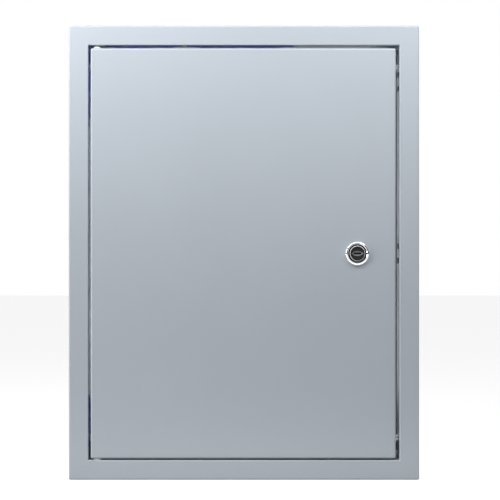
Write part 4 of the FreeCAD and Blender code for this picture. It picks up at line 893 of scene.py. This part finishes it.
def choke():
    """A small ring choke wound in enamelled copper, lying on the charger board."""
    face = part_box("charger_board")[0][1]
    x, z, ring_r, core_r, wire_r = 0.034, -0.040, 0.0062, 0.0026, 0.00034
    around, steps, turns, turn_steps = 48, 14, 22, 24
    middle_y = face - core_r - 0.0006
    axis = Vector((0.0, 1.0, 0.0))

    def spot(out, reach, r, b):
        """A point at angle b round the ring's section, in the direction out from its middle."""
        return Vector((x, middle_y, z)) + out * (reach + r * math.cos(b)) + axis * (r * math.sin(b))

    rings = []
    for i in range(around):
        a = math.tau * i / around
        out = Vector((math.cos(a), 0.0, math.sin(a)))
        rings.append([spot(out, ring_r, core_r * 0.82, math.tau * k / steps) for k in range(steps)])
    Shape().skin(rings, closed=True).piece("choke_core", CERAMIC)
    wire = Shape()
    for i in range(turns):
        a = math.radians(20 + 320 * i / (turns - 1))
        out, side = Vector((math.cos(a), 0.0, math.sin(a))), Vector((-math.sin(a), 0.0, math.cos(a)))
        rings = []
        for k in range(turn_steps):
            b = math.tau * k / turn_steps
            outward = out * math.cos(b) + axis * math.sin(b)
            rings.append(wire_ring(spot(out, ring_r, core_r, b), outward, side, wire_r, 6))
        wire.skin(rings, closed=True)
    wire.piece("choke_winding", COPPER)


def boards():
    """Small parts and tracks on the main and charger boards, clear of the CAD parts and the choke."""
    fitted = ("chips", "relays", "capacitors", "field_terminals", "ribbon_headers", "fuse_clips",
              "board_fuses", "heat_sink", "board_supports", "fascia_pillars")
    grow = 0.001
    keep = [(low.x - grow, high.x + grow, low.z - grow, high.z + grow)
            for node in fitted for low, high in solids(node)]
    keep.append((0.024, 0.044, -0.050, -0.030))
    for name, parts, tracks, seed in (("main_board", 120, 260, 3), ("charger_board", 60, 130, 5)):
        low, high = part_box(name)
        x, z = (low[0], high[0]), (low[2], high[2])
        surface_parts(name, x, z, low[1], keep, parts, seed)
        board_traces(name, x, z, low[1], keep, tracks, seed)


def terminal_marks():
    """A white mark by each way of the screw terminals."""
    marks = Shape()
    pitch = 0.00508
    for low, high in solids("field_terminals"):
        ways = round((high.x - low.x) / pitch)
        upward = low.z > 0
        edge = low.z + 0.0005 if upward else high.z - 0.0013
        for i in range(ways):
            x = low.x + (i + 0.5) * pitch
            marks.block(span(x, 0.0012), (low.y - 0.00005, low.y), (edge, edge + 0.0008))
    marks.piece("terminal_marks", WHITE_INK)


# ---- control fascia ----
BUTTONS = ("silence_button", "sound_button", "mute_button", "reset_button")


def overlay_print():
    """Borders, lamp fields and zone numbers printed on the fascia's overlay."""
    low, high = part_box("fascia_overlay")
    face = low[1]
    skin, over = (face - 0.00005, face), (face - 0.00009, face - 0.00005)
    fire, fault, power = solids("fire_lamps"), solids("fault_lamps"), solids("power_lamp")
    zone_faults, other_faults = fault[:4], fault[4:]
    inks = {"white": WHITE_INK, "grey": GREY_INK, "red": RED_INK, "amber": AMBER_INK, "green": GREEN_INK}
    white, grey, red, amber, green = prints = [Shape() for _ in inks]
    white.frame((low[0] + 0.002, high[0] - 0.002), (low[2] + 0.002, high[2] - 0.002), 0.0004, *skin)
    left, right = middle(fire[0]).x - 0.013, middle(fire[-1]).x + 0.013
    for lamps, shape in ((fire, red), (zone_faults, amber)):
        z = span(middle(lamps[0]).z, 0.0056)
        for lamp in lamps:
            shape.frame(span(middle(lamp).x, 0.0095), z, 0.0009, *skin)
        grey.block((left, left + 0.0022), skin, z)
        grey.block((right - 0.0022, right), skin, z)
    for lamp in fire:
        x, _, z = middle(lamp)
        white.block(span(x, 0.0095), skin, (z + 0.0066, z + 0.0070))
    for i, lamp in enumerate(sorted(other_faults, key=lambda pair: -pair[0].z)):
        x, _, z = middle(lamp)
        amber.frame(span(x, 0.0056), span(z, 0.0051), 0.0007, *skin)
        grey.block((x + 0.0062, x + 0.034), skin, span(z, 0.0051))
        pictogram(white, i, x + 0.0125, z, 0.0034, *over)
    x, _, z = middle(power[0])
    green.band(x, z, 0.0044, 0.0053, *skin, steps=40)
    x, _, z = middle(solids("sounder")[0])
    grey.band(x, z, 0.0140, 0.0146, *skin, steps=60)
    x, _, z = middle(solids("keyswitch_core")[0])
    dot = ((0.0011, face), (0.0011, face - 0.00005))
    for dx, dz in ((0.0, 0.0125), (-0.0125, 0.0)):
        white.turned(x + dx, z + dz, dot, 20)
    white.band(x, z, 0.0121, 0.0125, *skin, start=100, sweep=70, steps=16)
    for button in BUTTONS:
        b_low, b_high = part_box(button)
        x, z = (b_low[0] + b_high[0]) / 2, (b_low[2] + b_high[2]) / 2
        grey.frame(span(x, 0.0128), span(z, 0.0093), 0.0010, *skin)
    for shape, (name, material) in zip(prints, inks.items()):
        shape.piece(f"overlay_print_{name}", material)
    zone_numbers([middle(lamp) for lamp in fire], face)


def zone_numbers(places, face):
    """Plain numerals 1 to 4 over the zone lamps, as one mesh."""
    shape = Shape()
    for number, place in enumerate(places, start=1):
        curve = bpy.data.curves.new(f"numeral_{number}", "FONT")
        curve.body = str(number)
        curve.size = 0.0062
        curve.align_x = "CENTER"
        curve.extrude = 0.00003
        text = bpy.data.objects.new(f"numeral_{number}", curve)
        mesh = bpy.data.meshes.new_from_object(text)
        turn = Matrix.Rotation(math.radians(90), 4, "X")
        mesh.transform(Matrix.Translation((place.x, face - 0.00004, place.z + 0.0086)) @ turn)
        shape.bm.from_mesh(mesh)
        bpy.data.objects.remove(text)
        bpy.data.meshes.remove(mesh)
        bpy.data.curves.remove(curve)
    shape.piece("zone_numbers", WHITE_INK)


def pictogram(shape, kind, x, z, size, y0, y1):
    """One of four plain signs: a warning triangle, a battery, a bolt of lightning and a bell."""
    s = size

    def at(*points):
        """An outline from points given in units of the sign's size."""
        return [(x + px * s, z + pz * s) for px, pz in points]

    if kind == 0:
        shape.prism(at((-1, -0.85), (1, -0.85), (0.8, -0.6), (-0.8, -0.6)), y0, y1)
        shape.prism(at((-1, -0.85), (-0.75, -0.62), (0.0, 0.65), (0.0, 1.0)), y0, y1)
        shape.prism(at((1, -0.85), (0.0, 1.0), (0.0, 0.65), (0.75, -0.62)), y0, y1)
        shape.prism(at((-0.12, -0.4), (0.12, -0.4), (0.12, 0.3), (-0.12, 0.3)), y0, y1)
    elif kind == 1:
        shape.frame(span(x, s), (z - s * 0.6, z + s * 0.45), s * 0.18, y0, y1)
        for side in (-1, 1):
            shape.block((x + side * s * 0.35, x + side * s * 0.7), (y0, y1), (z + s * 0.45, z + s * 0.7))
    elif kind == 2:
        shape.prism(at((0.25, 1.0), (-0.55, -0.1), (-0.05, -0.1), (-0.25, -1.0), (0.55, 0.2), (0.05, 0.2)),
                    y0, y1)
    else:
        shape.prism(at((-0.85, -0.6), (0.85, -0.6), (0.6, -0.3), (0.5, 0.45), (0.2, 0.85), (-0.2, 0.85),
                       (-0.5, 0.45), (-0.6, -0.3)), y0, y1)
        shape.prism(at((-0.2, -0.95), (0.2, -0.95), (0.2, -0.7), (-0.2, -0.7)), y0, y1)


def button_signs():
    """A printed sign on each push button: stop, sound, mute and reset."""
    for i, button in enumerate(BUTTONS):
        low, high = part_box(button)
        x, z = (low[0] + high[0]) / 2, (low[2] + high[2]) / 2
        y0, y1 = low[1] - 0.00005, low[1]
        sign = Shape()
        if i == 0:
            sign.frame(span(x, 0.0028), span(z, 0.0028), 0.0009, y0, y1)
        if i in (1, 2):
            cone = [(-0.0034, -0.0010), (-0.0020, -0.0010), (0.0, -0.0030),
                    (0.0, 0.0030), (-0.0020, 0.0010), (-0.0034, 0.0010)]
            sign.prism([(x + px, z + pz) for px, pz in cone], y0, y1)
        if i == 1:
            for r in (0.0020, 0.0034):
                sign.band(x, z, r, r + 0.0005, y0, y1, start=-40, sweep=80, steps=12)
        if i == 2:
            for slope in (-1, 1):
                bar = [(0.0010, -0.0014), (0.0015, -0.0019), (0.0043, 0.0014), (0.0038, 0.0019)]
                sign.prism([(x + px, z + slope * pz) for px, pz in bar][::slope], y0, y1)
        if i == 3:
            sign.band(x, z, 0.0023, 0.0031, y0, y1, start=70, sweep=280, steps=28)
            tip = [(x - 0.0006, z + 0.0013), (x + 0.0016, z + 0.0027), (x - 0.0006, z + 0.0041)]
            sign.prism(tip, y0, y1)
        sign.piece(f"{button}_sign", DARK_INK, button)


for build in (protective_film, slot_tape, hinge_spring, battery_details, lead_sleeves, battery_leads,
              transformer_leads, transformer_details, chip_details, capacitor_tops, relay_details, boards,
              choke, terminal_marks, overlay_print, button_signs):
    build()


# ---- stage, camera and light ----
def white_floor():
    """A plain pale floor under the frame's lower edge, which throws no light back up at the object."""
    mesh = bpy.data.meshes.new("floor")
    half, z = 6.0, CAD_BOUNDS[0][2] - 0.0004
    corners = [(-half, -half, z), (half, -half, z), (half, half, z), (-half, half, z)]
    mesh.from_pydata(corners, [], [(0, 1, 2, 3)])
    floor = new_object("floor", mesh)
    finish = Finish("floor_white", (0.70, 0.70, 0.71), 0.7, emission_color=(1, 1, 1, 1),
                    emission_strength=0.62)
    finish.tone(finish.noise(3.0, 2.0), 0.99, 1.0)
    floor.visible_diffuse = False
    mesh.materials.append(finish.material)


def soft_world():
    """A white backdrop, lit as a grey studio with a dark horizon, dark straight in front."""
    world = bpy.data.worlds.new("studio")
    bpy.context.scene.world = world
    world.use_nodes = True
    nodes = Nodes(world.node_tree)
    axes = nodes.add("ShaderNodeSeparateXYZ")
    nodes.link(nodes.add("ShaderNodeTexCoord").outputs["Generated"], axes.inputs["Vector"])
    levels = ((0.0, 0.02), (0.025, 0.03), (0.12, 0.22), (0.36, 0.245), (0.50, 0.80), (0.62, 0.45))
    front_to_back = nodes.remap(axes.outputs["Y"], 0.0, 1.0, -1.0, 1.0)
    grey = nodes.ramp(front_to_back, [(place, (level, level, level)) for place, level in levels])
    height = nodes.add("ShaderNodeMath", operation="ABSOLUTE")
    nodes.link(axes.outputs["Z"], height.inputs[0])
    shaded = nodes.add("ShaderNodeVectorMath", operation="SCALE")
    nodes.link(grey, shaded.inputs["Vector"])
    nodes.link(nodes.remap(height.outputs["Value"], 0.10, 1.0, 0.07, 0.15), shaded.inputs["Scale"])
    backdrop = nodes.add("ShaderNodeMix", data_type="RGBA")
    backdrop.inputs["B"].default_value = (1.0, 1.0, 1.0, 1.0)
    nodes.link(nodes.add("ShaderNodeLightPath").outputs["Is Camera Ray"], backdrop.inputs["Factor"])
    nodes.link(shaded.outputs["Vector"], backdrop.inputs["A"])
    nodes.link(backdrop.outputs["Result"], nodes.tree.nodes["Background"].inputs["Color"])


def area_light(name, place, target, size, power):
    """A rectangular lamp at a place, turned towards its target and hidden from the camera."""
    data = bpy.data.lights.new(name, "AREA")
    data.shape = "RECTANGLE"
    data.size, data.size_y = size
    data.energy = power
    light = new_object(name, data)
    light.location = place
    light.rotation_euler = (Vector(target) - Vector(place)).to_track_quat("-Z", "Y").to_euler()
    light.visible_camera = False


def gap_lights():
    """Faint strips just inside the opening, for the light that leaks round the door's edges."""
    y, aim = -0.066, -0.082
    for side in (-1, 1):
        area_light(f"side_gap_{side}", (side * 0.136, y, 0.0), (side * 0.150, aim, 0.0), (0.006, 0.36), 0.03)
        area_light(f"level_gap_{side}", (0.0, y, side * 0.186), (0.0, aim, side * 0.200), (0.26, 0.006), 0.02)


def camera():
    """Straight on to the door, a little right of and above its centre."""
    front = CAD_BOUNDS[0][1]
    distance, view_width = 1.5, 0.4811
    data = bpy.data.cameras.new("camera")
    data.sensor_width = 36.0
    data.lens = data.sensor_width * distance / view_width
    data.clip_start = 0.05
    item = new_object("camera", data)
    item.location = (0.0059, front - distance, 0.0026)
    item.rotation_euler = (math.radians(90), 0, 0)
    bpy.context.scene.camera = item


bpy.context.scene.view_settings.view_transform = "Standard"
white_floor()
soft_world()
area_light("top_strip", (0.0, -0.40, 0.47), (0.0, -0.1, 0.0), (1.1, 0.25), 3.75)
area_light("left_bank_high", (-1.15, -0.42, 0.32), (0.0, -0.1, 0.0), (0.5, 0.42), 4.7)
area_light("left_bank_low", (-1.15, -0.42, -0.17), (0.0, -0.1, -0.05), (0.5, 0.12), 3.0)
area_light("low_bounce", (-0.02, -0.24, -0.214), (-0.02, -0.1, -0.225), (0.6, 0.016), 0.09)
area_light("left_corner", (-0.30, -0.26, 0.30), (-0.17, -0.1, 0.20), (0.12, 0.12), 0.20)
area_light("right_corner", (0.33, -0.24, 0.30), (0.17, -0.1, 0.21), (0.12, 0.12), 0.13)
gap_lights()
camera()
